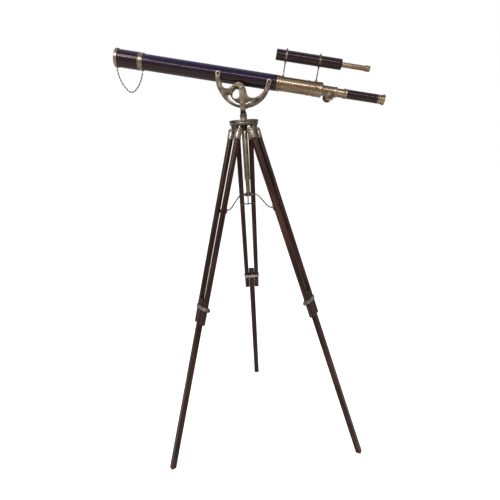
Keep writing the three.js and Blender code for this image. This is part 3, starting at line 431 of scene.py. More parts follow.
def moved(bm, x=0, y=0, z=0):
    bmesh.ops.translate(bm, vec=(x, y, z), verts=bm.verts)
    return bm


def turned(bm, angle, axis, centre=(0, 0, 0)):
    bmesh.ops.rotate(bm, cent=centre, matrix=Matrix.Rotation(radians(angle), 3, axis), verts=bm.verts)
    return bm


def knurled(bm, columns, above, depth):
    """A wheel about X whose rim, beyond that radius, has every second pair of columns sunk."""
    for vertex in bm.verts:
        reach = (vertex.co.y ** 2 + vertex.co.z ** 2) ** 0.5
        column = round(atan2(vertex.co.z, vertex.co.y) / (2 * pi) * columns)
        if reach > above and column % 4 in (2, 3):
            vertex.co.y *= (reach - depth) / reach
            vertex.co.z *= (reach - depth) / reach
    return bm


def arc(x, y, radius, start, stop, steps):
    angles = [radians(start + (stop - start) * i / steps) for i in range(steps + 1)]
    return [(x + radius * cos(a), y + radius * sin(a)) for a in angles]


def smoothed(points, steps=5):
    """A Catmull-Rom line through the points."""
    line = []
    for i in range(len(points) - 1):
        p = [Vector(points[max(0, min(len(points) - 1, i + k))]) for k in (-1, 0, 1, 2)]
        for k in range(steps):
            t = k / steps
            point = 0.5 * (2 * p[1] + (p[2] - p[0]) * t + (2 * p[0] - 5 * p[1] + 4 * p[2] - p[3]) * t * t
                           + (3 * p[1] - p[0] - 3 * p[2] + p[3]) * t ** 3)
            line.append(tuple(point))
    return line + [points[-1]]


def rounded_rectangle(size_x, size_y, radius):
    x, y = size_x / 2 - radius, size_y / 2 - radius
    return (arc(x, y, radius, 0, 90, 6) + arc(-x, y, radius, 90, 180, 6)
            + arc(-x, -y, radius, 180, 270, 6) + arc(x, -y, radius, 270, 360, 6))


def surface(curve):
    """The mesh that a curve makes. The curve is used up."""
    holder = bpy.data.objects.new("outline", curve)
    bpy.context.scene.collection.objects.link(holder)
    mesh = bpy.data.meshes.new_from_object(holder.evaluated_get(bpy.context.evaluated_depsgraph_get()))
    bpy.data.objects.remove(holder)
    bpy.data.curves.remove(curve)
    return mesh


def curve_body(curve):
    """A bmesh of a curve's surface."""
    mesh = surface(curve)
    bm = bmesh.new()
    bm.from_mesh(mesh)
    bpy.data.meshes.remove(mesh)
    bmesh.ops.remove_doubles(bm, verts=bm.verts, dist=1e-4)
    bmesh.ops.recalc_face_normals(bm, faces=bm.faces)
    return bm


def slab(outlines, thickness, edge, plane="xz"):
    """A plate of that thickness, centred on its plane: the first outline, less any others inside it."""
    curve = bpy.data.curves.new("outline", "CURVE")
    curve.dimensions = "2D"
    curve.fill_mode = "BOTH"
    curve.extrude = thickness / 2 - edge
    curve.bevel_depth = edge
    curve.bevel_resolution = 2
    curve.offset = -edge
    for points in outlines:
        spline = curve.splines.new("POLY")
        spline.points.add(len(points) - 1)
        for point, (x, y) in zip(spline.points, points):
            point.co = (x, y, 0, 1)
        spline.use_cyclic_u = True
    bm = curve_body(curve)
    bmesh.ops.transform(bm, matrix=Matrix(PLANES[plane]).transposed().to_4x4(), verts=bm.verts)
    return bm


def beam(outline, low, high, edge):
    """A prism along Z between two heights."""
    return moved(slab([outline], high - low, edge, "xy"), z=(low + high) / 2)


def line_curve(points, loop=False, steps=10):
    """A smooth open curve through the points, or a closed loop with straight sides."""
    curve = bpy.data.curves.new("line", "CURVE")
    curve.dimensions = "3D"
    if loop:
        spline = curve.splines.new("POLY")
        spline.points.add(len(points) - 1)
        for knot, point in zip(spline.points, points):
            knot.co = (*point, 1)
        spline.use_cyclic_u = True
    else:
        spline = curve.splines.new("BEZIER")
        spline.bezier_points.add(len(points) - 1)
        for knot, point in zip(spline.bezier_points, points):
            knot.co = point
            knot.handle_left_type = knot.handle_right_type = "AUTO"
        spline.resolution_u = steps
    return curve


def wire(points, radius, loop=False, resolution=4):
    """A round wire along a smooth line, with closed ends, or all round a loop."""
    curve = line_curve(points, loop)
    curve.bevel_depth = radius
    curve.bevel_resolution = resolution
    curve.use_fill_caps = not loop
    return curve_body(curve)


def piece(name, body, shells, matrix, material, replaces):
    """One object from closed shells in local millimetres. It replaces CAD nodes, rides on a body and
    takes a finish."""
    whole = bmesh.new()
    for bm in shells:
        part = bpy.data.meshes.new("part")
        bm.to_mesh(part)
        bm.free()
        whole.from_mesh(part)
        bpy.data.meshes.remove(part)
    bmesh.ops.transform(whole, matrix=matrix, verts=whole.verts)
    for face in whole.faces:
        face.smooth = True
    for edge in whole.edges:
        if len(edge.link_faces) == 2 and edge.calc_face_angle(0) > HARD_ANGLE:
            edge.smooth = False
    mesh = bpy.data.meshes.new(name)
    whole.to_mesh(mesh)
    whole.free()
    mesh.materials.append(material)
    thing = bpy.data.objects.new(name, mesh)
    bpy.context.scene.collection.objects.link(thing)
    if replaces:
        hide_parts(*replaces)
    if body:
        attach(thing, body)
    return thing


# ------------------------------------------------------------------ chain

CHAIN_WIDTH = 5.0
LINK_PITCH = 6.2
LINK_WIRE = 1.2
# the route from the cap's stud to the band's, as distances in metres along +X and up
CHAIN_ROUTE = [
    (0, 0), (0.001, -0.008), (0.0025, -0.017), (0.005, -0.0285), (0.0085, -0.0395), (0.013, -0.050),
    (0.0185, -0.0595), (0.025, -0.0685), (0.032, -0.076), (0.040, -0.0808), (0.048, -0.0806),
    (0.056, -0.0765), (0.0635, -0.070), (0.0705, -0.062), (0.0765, -0.053), (0.0815, -0.0435),
    (0.0855, -0.0345), (0.0885, -0.0265), (0.0907, -0.0203),
]


def make_chain():
    low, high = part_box("cap_chain")
    half_link = CHAIN_WIDTH / 2 * MM
    # The CAD tube is cut square at its ends, so the route starts just inside its box.
    start = Vector((low.x + half_link * 0.97, (low.y + high.y) / 2, high.z - half_link * 0.24))
    route = [start + Vector((x, 0, z)) for x, z in CHAIN_ROUTE]
    mesh = surface(line_curve(route, steps=8))
    dense = [vertex.co.copy() for vertex in mesh.vertices]
    bpy.data.meshes.remove(mesh)
    lengths = [0.0]
    for a, b in zip(dense, dense[1:]):
        lengths.append(lengths[-1] + (b - a).length)
    total = lengths[-1]

    def at(distance):
        i = max(k for k, done in enumerate(lengths[:-1]) if done <= distance + 1e-9)
        share = (distance - lengths[i]) / max(lengths[i + 1] - lengths[i], 1e-9)
        return dense[i].lerp(dense[i + 1], share), (dense[i + 1] - dense[i]).normalized()

    count = round(total / MM / LINK_PITCH)
    pitch = total / count
    links = []
    for i in range(count):
        centre, heading = at(pitch * (i + 0.5))
        link = oval_link(pitch / MM / 2 + LINK_WIRE * 1.6)
        # Every other link stands square to its neighbours.
        across = SIDE if i % 2 else heading.cross(SIDE)
        matrix = axes_matrix(centre, heading, across, heading.cross(across))
        bmesh.ops.transform(link, matrix=matrix, verts=link.verts)
        links.append(link)
    chain = piece("cap_chain_links", None, links, Matrix(), CHAIN_NICKEL, ["cap_chain"])
    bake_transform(chain)


def oval_link(half_length):
    """A closed wire link in the XY plane, drawn out along X."""
    bow = CHAIN_WIDTH / 2 - LINK_WIRE
    straight = half_length - LINK_WIRE - bow
    outline = arc(straight, 0, bow, -90, 90, 6) + arc(-straight, 0, bow, 90, 270, 6)
    return wire([(x, y, 0) for x, y in outline], LINK_WIRE, loop=True, resolution=1)


make_chain()


# ------------------------------------------------------------------ barrel

STUD_REACH = 36.4                                # how far below the barrel's axis the chain's studs end
CAP_R = 31.6
CAP_DEPTH = 6.1                                  # of the dome


def tube(low, high, outer, inner, soft=0.5):
    return spun([(low, inner), (low, outer - soft), (low + soft, outer), (high - soft, outer),
                 (high, outer - soft), (high, inner)], 96)


def ring_profile(low, high, radius, inner, bead, beads):
    """A turned ring with rounded beads at those shares of its width."""
    points = [(low, inner), (low, radius)]
    for share in beads:
        points += shifted(low + (high - low) * share, radius, [
            (-bead, 0), (-bead * 0.7, bead * 0.7), (0, bead), (bead * 0.7, bead * 0.7), (bead, 0)])
    return points + [(high, radius), (high, inner)]


def chain_stud(along, from_radius):
    """The small post under the barrel that one end of the chain hangs from."""
    return moved(pin(-STUD_REACH, -from_radius + 1, 1.5, "z", steps=20), x=along)


def make_barrel():
    front, back = ends("main_tube")
    piece("main_tube_leather", "telescope", [tube(front, back, TUBE_R, TUBE_R - 2.2)], BARREL, TUBE_LEATHER,
          ["main_tube"])
    front, back = ends("dew_hood")
    piece("dew_hood_leather", "telescope", [tube(front, back, HOOD_R, HOOD_R - 2)], BARREL, HOOD_LEATHER,
          ["dew_hood"])
    front, back = ends("hood_band")
    band = spun(ring_profile(front, back, TUBE_R + 2.4, TUBE_R + CLEAR, 0.7, (0.07, 0.16, 0.84, 0.93)), 96)
    stud = chain_stud(back - 2.5, HOOD_R)
    piece("hood_band_ring", "telescope", [band, stud], BARREL, BAND_BRASS, ["hood_band"])


def make_cap():
    low, back = ends("lens_cap")
    front = low + 6.5
    rim = spun(shifted(front, 0, [(-0.4, 20), (-0.4, 32), (0.4, 33), (2.2, 32.9), (2.8, 32.2), (3.4, 32.9)])
               + shifted(back, 0, [(-1.6, 32.9), (-0.8, 33.2), (0, 32.6), (0, 30.9)])
               + shifted(front, 0, [(2.8, 30.9), (2.8, 20)]), 96)
    stud = chain_stud(ends("dew_hood")[0] + 1.7, 32)
    piece("lens_cap_rim", "cap", [rim, stud], BARREL, BAND_BRASS, ["lens_cap"])
    dome = [(low + CAP_DEPTH * (1 - cos(radians(a))), CAP_R * sin(radians(a)) ** 0.9)
            for a in (0, 12, 24, 36, 48, 60, 72, 82, 90)]
    face = spun(dome + [(front + 1, CAP_R), (front + 1, 0)], 96)
    piece("lens_cap_face", "cap", [face], BARREL, HOOD_LEATHER, [])


def make_sleeve():
    front, back = ends("rear_sleeve")
    r, bore = SLEEVE_R, HOUSING_R + CLEAR
    profile = [(front, r - 2), (front, r)]
    profile += shifted(ends("main_tube")[1] + CLEAR, r, [
        (0, 0), (0, 1.9), (0.6, 2.6), (2, 2.6), (2.6, 1.7), (4, 1.9), (5.2, 2.8), (7.2, 2.8), (8.4, 1.9),
        (12.6, 1.9), (13.4, 2.4), (14.6, 2.4), (15.4, 0), (38, 0)])
    profile += shifted(back - 32, r, [
        (-22, 0), (-21, 1.1), (-18, 1.4), (-15, 1.1), (-14, 0), (0, 0), (0.5, 1.3), (2, 1.9), (4, 1.4),
        (5, 0.9), (25, 0.9), (26, 1.6), (28, 2), (30.5, 1.6)])
    profile += [(back, r + 0.5), (back, bore), (back - 5, bore), (back - 5, r - 2)]
    piece("rear_sleeve_brass", "telescope", [spun(profile, 96)], BARREL, BARREL_BRASS, ["rear_sleeve"])


# ------------------------------------------------------------------ focuser and eyepiece

PINION_AT = (PINION.translation - BARREL.translation).dot(ALONG) / MM
SHAFT_DROP = (BARREL.translation - PINION.translation).dot(RISE) / MM
BEARING_R = 6.6
DRAW_BORE = 13.7
RACK_FRONT, RACK_BACK, RACK_PITCH = 216, 368, 3
RACK_HALF = 2.8                                  # half the rack's width
KNOB_R = 17.2
KNOB_FROM, KNOB_TO = 19.8, 28.8                  # the knob's two faces along its shaft


def make_focuser():
    low, high = ends("focuser_housing")
    bore, r = DRAW_R + CLEAR, HOUSING_R
    shell = spun([(low, bore), (low, 22.9), (low + 4.2, 22.9), (low + 4.3, r)]
                 + shifted(ends("rear_sleeve")[1], 0, [(0.4, r), (0.5, 20.5), (3, 20.8), (5, 19.6), (6.5, r)])
                 + shifted(high, 0, [(-8, r), (-7, 18.6), (-5, 19), (-1, 19), (0, 18.2), (0, bore)]), 72)
    bearing = moved(pin(-19.2, 19.2, BEARING_R, "y", 1.2, 40), PINION_AT, 0, -SHAFT_DROP)
    cheeks = brick((PINION_AT - BEARING_R, -14, -SHAFT_DROP), (PINION_AT + BEARING_R, 14, -15.6), 1.0)
    piece("focuser_housing_brass", "telescope", [shell, bearing, cheeks], BARREL, BARREL_BRASS,
          ["focuser_housing"])

    front, back = ends("draw_tube")
    shoulder = back + CLEAR
    body = spun([(front, DRAW_BORE), (front, DRAW_R)] + shifted(back - 13, 0, [
        (0, DRAW_R), (0.3, 17.2), (1.4, 18), (3.4, 17.7), (4.5, 17.1), (8.4, 17.1), (9.6, 17.7), (11.6, 18),
        (12.6, 17.2)]) + [(back, 16.6), (back, DRAW_BORE)], 72)
    teeth = [brick((x, -RACK_HALF, -15.7), (x + 1.3, RACK_HALF, -13.9), 0.2)
             for x in range(RACK_FRONT, RACK_BACK, RACK_PITCH)]
    rail = brick((RACK_FRONT - 1, -RACK_HALF, -15.2), (RACK_BACK, RACK_HALF, -13.8), 0.3)
    piece("draw_tube_brass", "focus_tube", [body, rail, *teeth], BARREL, BARREL_BRASS, ["draw_tube"])

    front, back = ends("eyepiece_tube")
    r = EYEPIECE_R
    body = spun([(front, 10), (front, 13.4), (shoulder, 13.4), (shoulder, r - 0.5), (shoulder + 0.5, r),
                 (back - 0.5, r), (back, r - 0.5), (back, 11.5), (back - 10, 11.5), (back - 10, 10)], 72)
    piece("eyepiece_leather", "eyepiece", [body], BARREL, EYEPIECE_LEATHER, ["eyepiece_tube"])
    front, back = ends("eyecup")
    body = spun(shifted(front, 0, [(0, 8), (0, 15.9), (0.8, 16.8), (3, 16.8), (4, 15.8), (10, 15.6),
                                   (16, 16.4), (22, 18)])
                + [(back - 0.8, 19.3), (back, 19), (back, 18)]
                + shifted(front, 0, [(21, 16.2), (14, 14.4), (5, 11.7), (4, 8)]), 72)
    piece("eyecup_brass", "eyepiece", [body], BARREL, BARREL_BRASS, ["eyecup"])


def make_knobs():
    """Knurled focus knobs with a dished and domed face."""
    r = KNOB_R
    for name in ("far", "near"):
        wheel = spun(shifted(KNOB_FROM, 0, [(0, 2.3), (0, 8.5), (2, 9.5), (2, r - 1.2), (2.8, r)])
                     + shifted(KNOB_TO, 0, [(-1, r), (-0.2, r - 1.2), (-0.8, r - 3), (-1.4, 12), (-0.4, 7),
                                            (0, 0), (-2.2, 0), (-2.2, 2.3)]), 144)
        turn_to(knurled(wheel, 144, r - 0.3, 0.7), "y")
        if name == "near":
            turned(wheel, 180, "Z")
        piece(f"focus_knob_{name}_knurled", "focus_pinion", [wheel], PINION, CAST_BRASS,
              [f"focus_knob_{name}"])


# ------------------------------------------------------------------ finder

def make_finder():
    low, high = ends("finder_tube", FINDER)
    r = FINDER_R
    body = spun(shifted(low, r, [(0, -2), (0, -0.6), (0.6, 0), (6, 0), (6.4, -0.7), (7.2, -0.7), (7.6, 0)])
                + shifted(high, r, [(-7.6, 0), (-7.2, -0.7), (-6.4, -0.7), (-6, 0), (-1.6, 0), (0, -1.6)])
                + [(high, 9.1), (high - 4, 9.1), (high - 4, r - 2)], 72)
    piece("finder_leather", "telescope", [body], FINDER, FINDER_LEATHER, ["finder_tube"])
    low, high = ends("finder_draw_tube", FINDER)
    body = spun([(low, 7.5), (low, 8.8)]
                + shifted(high - 14.1, 0, [(-6, 8.8), (-5, 9.6), (-3, 9.6), (-2, 8.9), (0, 8.9), (0, 10.2),
                                           (1, 10.8), (3.6, 10.8), (4.4, 10)])
                + shifted(high, 0, [(-4.4, 10), (-3.6, 10.8), (-1, 10.8), (0, 10.2), (0, 5), (-4, 5),
                                    (-4, 7.5)]), 56)
    piece("finder_draw_brass", "finder_eyepiece", [body], FINDER, BARREL_BRASS, ["finder_draw_tube"])
    for name, seat_r in (("front", SLEEVE_R), ("rear", SLEEVE_R + 2)):
        node = f"finder_ring_{name}"
        at = sum(ends(node, FINDER)) / 2
        ring = spun(ring_profile(-3.6, 3.6, r + 1.7, r + CLEAR, 0.6, (0.15, 0.85)), 72)
        post = spun(shifted(-FINDER_RISE + seat_r + 0.5, 0, [
            (0, 0), (0, 4.5), (1.4, 4.6), (2.2, 3.6), (4, 2.6), (8, 2.3)])
            + shifted(-r, 0, [(-15, 2.2), (-7, 2.4), (-5, 3.4), (-1, 3.4), (-1, 0)]), 28, "z")
        nub = spun(shifted(r, 0, [(1, 0), (1, 2.6), (3.4, 2.6), (3.9, 1.4), (5.2, 1.4), (5.7, 2.4),
                                  (6.8, 2.2), (7, 0)]), 20, "z")
        piece(f"{node}_brass", "telescope", [moved(bm, x=at) for bm in (ring, post, nub)], FINDER, CAST_BRASS,
              [node])


# ------------------------------------------------------------------ cradle and fork

CRADLE_BACK = 1.8                                # the cradle's middle behind the pivot
CRADLE_EDGE = [
    (-81.8, 18), (-77.5, 5.5), (-68, -5), (-59.5, -9), (-49, -6.9), (-40.5, 0), (-31, 9.5), (-20, 17),
    (-8, 18), (4.5, 11.8), (14.5, -3), (19, -13), (23.8, -21.5), (31, -25.8), (41.5, -26.7), (55.5, -22),
    (68.3, -11), (77.3, 1.8), (82.5, 16.2),
]
HORN_AT, HORN_R = 93, 9.3                        # the rounded horns at the crescent's two ends
PLATE_THICK = 4.0
SLOT_R = (FORK.translation - LOCK.translation).length / MM
SLOT_ENDS = (-148, -48)
SLOT_HALF = 4.9                                  # half the slot's width
RIVET_AT = (-32, -5)


def screw(side, radius):
    """A screw head with a raised rim and a hollow face, facing along Y on that side."""
    rim = spun([(-0.5, 0), (-0.5, radius), (0.5, radius), (1.1, radius - 0.6), (1.1, radius - 1.2),
                (0.3, radius - 1.5), (0.3, 1.6), (0.8, 1.2), (0.9, 0)], 28, "y")
    return turned(rim, 180, "Z") if side < 0 else rim


def make_cradle():
    tip, (first, last), half = PIVOT_DROP - 3.3, SLOT_ENDS, SLOT_HALF
    edge = smoothed([(HORN_R - HORN_AT, tip), *CRADLE_EDGE, (HORN_AT - HORN_R, tip)])
    outer = (arc(0, PIVOT_DROP - 1, 101, -14, -166, 60) + arc(-HORN_AT, tip, HORN_R, 180, 0, 16)[:-1]
             + edge[1:-1] + arc(HORN_AT, tip, HORN_R, 180, 0, 16)[1:])
    outer = [(x + CRADLE_BACK, y) for x, y in outer]
    first_at, last_at = arc(0, 0, SLOT_R, first, last, 1)
    slot = (arc(0, 0, SLOT_R + half, first, last, 32) + arc(*last_at, half, last, last + 180, 10)[1:-1]
            + arc(0, 0, SLOT_R - half, last, first, 32)
            + arc(*first_at, half, first + 180, first + 360, 10)[1:-1])
    window = [(-18 + 15.5 * x, -19.1 + 20 * y) for x, y in arc(0, 0, 1, 0, 351, 39)]
    for side, name in ((-1, "near"), (1, "far")):
        node = f"cradle_plate_{name}"
        centre = (middle(node).y - PIVOT.y) / MM
        plate = moved(slab([outer, slot, window], PLATE_THICK, 0.9), y=centre)
        rivet = spun([(-0.2, 0), (-0.2, 4.2), (0.8, 4), (1.8, 2.6), (2.2, 0)], 24, "y")
        moved(rivet, RIVET_AT[0], centre + PLATE_THICK / 2, RIVET_AT[1])
        if side < 0:
            turned(rivet, 180, "Z", (RIVET_AT[0], centre, 0))
        piece(f"{node}_brass", "telescope", [plate, rivet], TILT, CAST_BRASS, [node])
        screws = [moved(screw(side, 4.2), x + CRADLE_BACK, centre + side * PLATE_THICK / 2, tip)
                  for x in (-HORN_AT, HORN_AT)]
        piece(f"cradle_screws_{name}", "telescope", screws, TILT, BLACK_BRASS, [])


def bolt_head(sides):
    """A chamfered head that stands along Y, round or with six sides."""
    r, height = 6.4, 4.1
    return spun([(0, 0), (0, r), (height * 0.55, r), (height * 0.9, r * 0.75), (height, r * 0.4),
                 (height, 0)], sides, "y")


def make_fork():
    low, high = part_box("azimuth_post")
    reach = (high.y - low.y) / 2 / MM
    inner, depth, floor = reach - 5.0, 83.0, 73.0
    outline = ([(-reach, 0)] + arc(12 - reach, 12 - depth, 12, 180, 270, 8)
               + arc(reach - 12, 12 - depth, 12, 270, 360, 8) + [(reach, 0), (inner, 0)]
               + arc(inner - 2, 2 - floor, 2, 360, 270, 4) + arc(2 - inner, 2 - floor, 2, 270, 180, 4)
               + [(-inner, 0)])
    shells = [slab([outline], 18.6, 1.2, "yz")]
    for side in (-1, 1):
        for z, r in ((0, 10.4), (-SLOT_R, 9.6)):
            boss = spun([(inner, 0), (inner, r), (reach - 0.6, r), (reach + 0.2, r - 1), (reach + 0.2, 0)],
                        40, "y")
            shells.append(moved(turned(boss, 180, "Z") if side < 0 else boss, z=z))
    shells.append(spun(shifted(-depth, 0, [
        (-38, 0), (-38, 7), (-7, 7), (-7, 11.6), (-6, 12.3), (-4.6, 12.3), (-3.8, 11.4), (-1, 11.2),
        (0.2, 11.9), (2, 11.9), (3, 9.6), (3, 0)]), 56, "z"))
    piece("azimuth_post_brass", "azimuth_fork", shells, FORK, CAST_BRASS, ["azimuth_post"])

    head = reach + CLEAR
    for name, z, has_nut in (("pivot_bolt", 0, True), ("lock_bolt", -SLOT_R, False)):
        shaft_end = head + (0 if has_nut else 13.8)
        shells = [spun([(-head, 0), (-head, 4), (shaft_end, 4), (shaft_end, 0)], 28, "y"),
                  turned(moved(bolt_head(32), y=head), 180, "Z")]
        if has_nut:
            shells.append(moved(bolt_head(6), y=head))
        piece(f"{name}_brass", "azimuth_fork", [moved(bm, z=z) for bm in shells], FORK, CAST_BRASS, [name])

    nut = [spun(shifted(head, 0, [(0, 4.3), (0, 7.5), (6, 7), (9, 5.6), (10, 5), (10, 4.3)]), 36, "y")]
    lobe = smoothed([(4, -4.6), (10, -3.6), (15, -2.5), (19.5, -0.5), (21, 3.5), (18.5, 8.2), (14, 8.8),
                     (10, 6), (4, 3.6)], 4)
    for side in (1, -1):
        nut.append(moved(slab([[(side * x, y) for x, y in lobe][::side]], 3.4, 1.1), y=head + 6.2))
    piece("wing_nut_brass", "lock_nut", [turned(bm, 38, "Y") for bm in nut], LOCK, CAST_BRASS, ["wing_nut"])


# ------------------------------------------------------------------ tripod head

BEAD_COUNT = 30
BEAD_AT = (52.2, 0, 5.8)
BASE_THICK = 10.0
KNUCKLE_R = 8.5
ROD_R, ROD_UPPER_R = 8, 10.6                     # below and above the hub's travel


def make_head():
    bore = SPINDLE_BORE
    bottom, height = stack("azimuth_collar")
    collar = spun([(0, bore), (0, 13.4), (0.8, 14), (2.6, 14), (3.4, 13), (4.2, 12.6)] + shifted(height, 0, [
        (-5, 12.6), (-4, 13.2), (-3, 14), (-1, 14), (0, 13.2), (0, bore)]), 56, "z")
    piece("azimuth_collar_brass", "tripod_head", [collar], level(bottom), CAST_BRASS, ["azimuth_collar"])

    bottom, height = stack("head_top_plate")
    disc = spun([(0, bore), (0, 53), (0.8, 54.4), (2.4, 55)] + shifted(height, 0, [
        (-2.6, 55), (-1, 54.2), (-0.3, 52.6), (-0.6, 49), (-1.2, 30), (0, 22), (0, bore)]), 128, "z")
    piece("head_top_disc", "tripod_head", [disc], level(bottom), HEAD_BRASS, ["head_top_plate"])

    base_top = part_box("head_base")[1].z
    drop = (base_top - joints["leg_1_fold"]["pos_m"][2]) / MM - BASE_THICK
    shells = [spun([(0, 0), (0, 50.5), (1.5, 51.5), (3.2, 51.5), (4.2, 52.4), (7.4, 52.4), (8.6, 51.6),
                    (BASE_THICK, 51.4), (BASE_THICK, bore), (4, bore), (4, 0)], 128, "z")]
    for i in range(BEAD_COUNT):
        bead = bmesh.new()
        bmesh.ops.create_uvsphere(bead, u_segments=12, v_segments=8, radius=1)
        bmesh.ops.scale(bead, vec=(1.6, 4.3, 2.5), verts=bead.verts)
        shells.append(turned(moved(bead, *BEAD_AT), 360 / BEAD_COUNT * i, "Z"))
    for number in LEGS:
        radius, angle = around(joint_at(f"leg_{number}_fold"))
        lug = [brick((-KNUCKLE_R, -13.6, 2 - drop), (KNUCKLE_R, 13.6, 1), 1.6),
               moved(pin(-13.7, 13.7, KNUCKLE_R, "y", 1.0, 36), z=-drop),
               moved(pin(-36.4, 36.4, 3.5, "y", 0.4, 24), z=-drop),
               brick((-6, -14.5, -6), (KNUCKLE_R, 14.5, 0.8), 1.5)]
        shells += [turned(moved(bm, x=radius), angle, "Z") for bm in lug]
    piece("head_base_brass", "tripod_head", shells, level(base_top - BASE_THICK * MM), HEAD_BRASS,
          ["head_base"])

    bottom, length = stack("centre_rod")
    hub_reach = (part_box("spreader_hub")[1].z - bottom + joints["hub_slide"]["range_m"][1]) / MM
    thick_from = hub_reach + 3
    rod = spun([(0, 0), (0, 6.6), (0.6, 7.6), (1.6, ROD_R), (thick_from, ROD_R), (thick_from, 9.6),
                (thick_from + 1, ROD_UPPER_R), (length - 1, ROD_UPPER_R), (length, 10), (length, 0)], 48, "z")
    piece("centre_rod_brass", "tripod_head", [rod], level(bottom), ROD_BRASS, ["centre_rod"])


# ------------------------------------------------------------------ legs and spreader

RAIL_SPACING = 50.6
RAIL_SIZE = 19.5
RAIL_TOP, RAIL_END = -11.3, -744
RAIL_TOE = 0.2363                                # degrees each rail leans towards the other
CROSSBAR_R = 2.5
CROSSBAR_IN_LEG = (-RAIL_SIZE / 2 - CLEAR - CROSSBAR_R, -302.0)
CLAMP_DROP = 679.0
CLAMP_SPACING = 45.0                             # rails at the clamp
CLAMP_HEIGHT = 13
LOWER_WIDTH = 23.9
FERRULE_SIZE, LIP_SIZE, FERRULE_END = 22.2, 22.9, -31
EYE_R, EYE_LONG = 5.6, 13                        # the long eye at each arm's outer end


def make_spreader():
    low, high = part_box("spreader_hub")
    shells = [spun([(-7, 8.3), (-7, 11.2), (-6, 12), (-4.4, 12), (-3.6, 11.2), (3.6, 11.2), (4.4, 12),
                    (6, 12), (7, 11.2), (7, 8.3)], 48, "z")]
    for number in LEGS:
        radius, angle = around(joint_at(f"arm_{number}_swing"))
        lug = [(-7, -4.6), (radius - 13, -4.8), *arc(0, 0, 4.6, -60, 60, 8), (radius - 13, 4.8), (-7, 4.6)]
        for side in (-1, 1):
            shells.append(turned(moved(slab([lug], 2.4, 0.5), radius, side * 4.05, 0), angle, "Z"))
        shells.append(turned(moved(pin(-6, 6, 1.5, "y", 0.5, 16), x=radius), angle, "Z"))
    piece("spreader_hub_brass", "spreader", shells, level((low.z + high.z) / 2), CAST_BRASS,
          ["spreader_hub"])

    for number in LEGS:
        across = joint_axis(f"arm_{number}_swing")
        matrix = axes_matrix(joint_at(f"arm_{number}_swing"), across.cross(UP), across, UP)
        bar_x, bar_z = CROSSBAR_IN_LEG
        bar = matrix.inverted() @ (leg_matrix(number) @ Vector((bar_x, 0, bar_z)))
        slope = atan2(bar.z, bar.x)
        loop = [(x, 0, z) for x, z in arc(0, 0, EYE_R, -90, 90, 10) + arc(-EYE_LONG, 0, EYE_R, 90, 270, 10)]
        eye = turned(wire(loop, 1.5, loop=True, resolution=3), -degrees(slope), "Y")
        moved(eye, bar.x, 0, bar.z)
        join = (bar.x - EYE_LONG * cos(slope) + EYE_R * sin(slope), 0,
                bar.z - EYE_LONG * sin(slope) - EYE_R * cos(slope))
        bends = [(bar.x * x, 0, bar.z * z)
                 for x, z in ((0.19, 0.02), (0.34, 0.24), (0.52, 0.6), (0.67, 0.88))]
        arm = wire([(4, 0, 0), *bends, join], 2.4)
        knuckle = spun([(-2.5, 1.8), (-2.5, 4), (-2, 4.5), (2, 4.5), (2.5, 4), (2.5, 1.8)], 28, "y")
        piece(f"spreader_arm_{number}_wire", f"arm_{number}", [arm, eye, knuckle], matrix, DARK_BRASS,
              [f"spreader_arm_{number}"])


def toed(bm, half):
    """A body made about a rail's middle, moved to its side and leaning with it."""
    return moved(turned(bm, -half * RAIL_TOE, "X"), y=half * RAIL_SPACING / 2)


def make_upper_leg(leg, matrix, wood):
    """The two rails with their ferrules, and the crossbar between them."""
    for half, letter in ((1, "a"), (-1, "b")):
        rail = toed(beam(rounded_rectangle(RAIL_SIZE, RAIL_SIZE, 7.2), RAIL_END, RAIL_TOP, 2.4), half)
        piece(f"{leg}_rail_{letter}_wood", leg, [rail], matrix, wood, [f"{leg}_rail_{letter}"])
        boss = spun([(11.2, 3.6), (11.2, 6), (12.3, 5.6), (12.7, 3.6)], 6)
        if half < 0:
            turned(boss, 180, "Z")
        shells = [
            beam(rounded_rectangle(FERRULE_SIZE, FERRULE_SIZE, 8.2), FERRULE_END, -3, 1.6),
            beam(rounded_rectangle(LIP_SIZE, LIP_SIZE, 8.6), FERRULE_END, FERRULE_END + 3, 0.9),
            spun([(-11.2, 3.8), (-11.2, 8.6), (-10.2, 9.5), (10.2, 9.5), (11.2, 8.6), (11.2, 3.8)], 40, "y"),
            turn_to(boss, "y"),
            moved(spun([(10.8, 0), (10.8, 2.2), (11.7, 1.6), (12, 0)], 16), z=-20)]
        piece(f"{leg}_ferrule_{letter}_brass", leg, [toed(bm, half) for bm in shells], matrix, FERRULE_BRASS,
              [f"{leg}_ferrule_{letter}"])

    bar_x, bar_z = CROSSBAR_IN_LEG
    at_bar = RAIL_SPACING / 2 + bar_z * sin(radians(RAIL_TOE))
    shells = [moved(pin(-at_bar - 5, at_bar + 5, CROSSBAR_R, "y", 1.2, 24), bar_x, 0, bar_z)]
    for half in (-1, 1):
        shells.append(moved(brick((-11.9, -5, -7), (-10.05, 5, 7), 0.7), 0, half * at_bar, bar_z))
        for dz in (-5, 5):
            shells.append(moved(pin(-12.6, -11.5, 1.2, "x", 0.4, 12), 0, half * at_bar, bar_z + dz))
    piece(f"{leg}_crossbar_brass", leg, shells, matrix, DARK_BRASS, [f"{leg}_crossbar"])


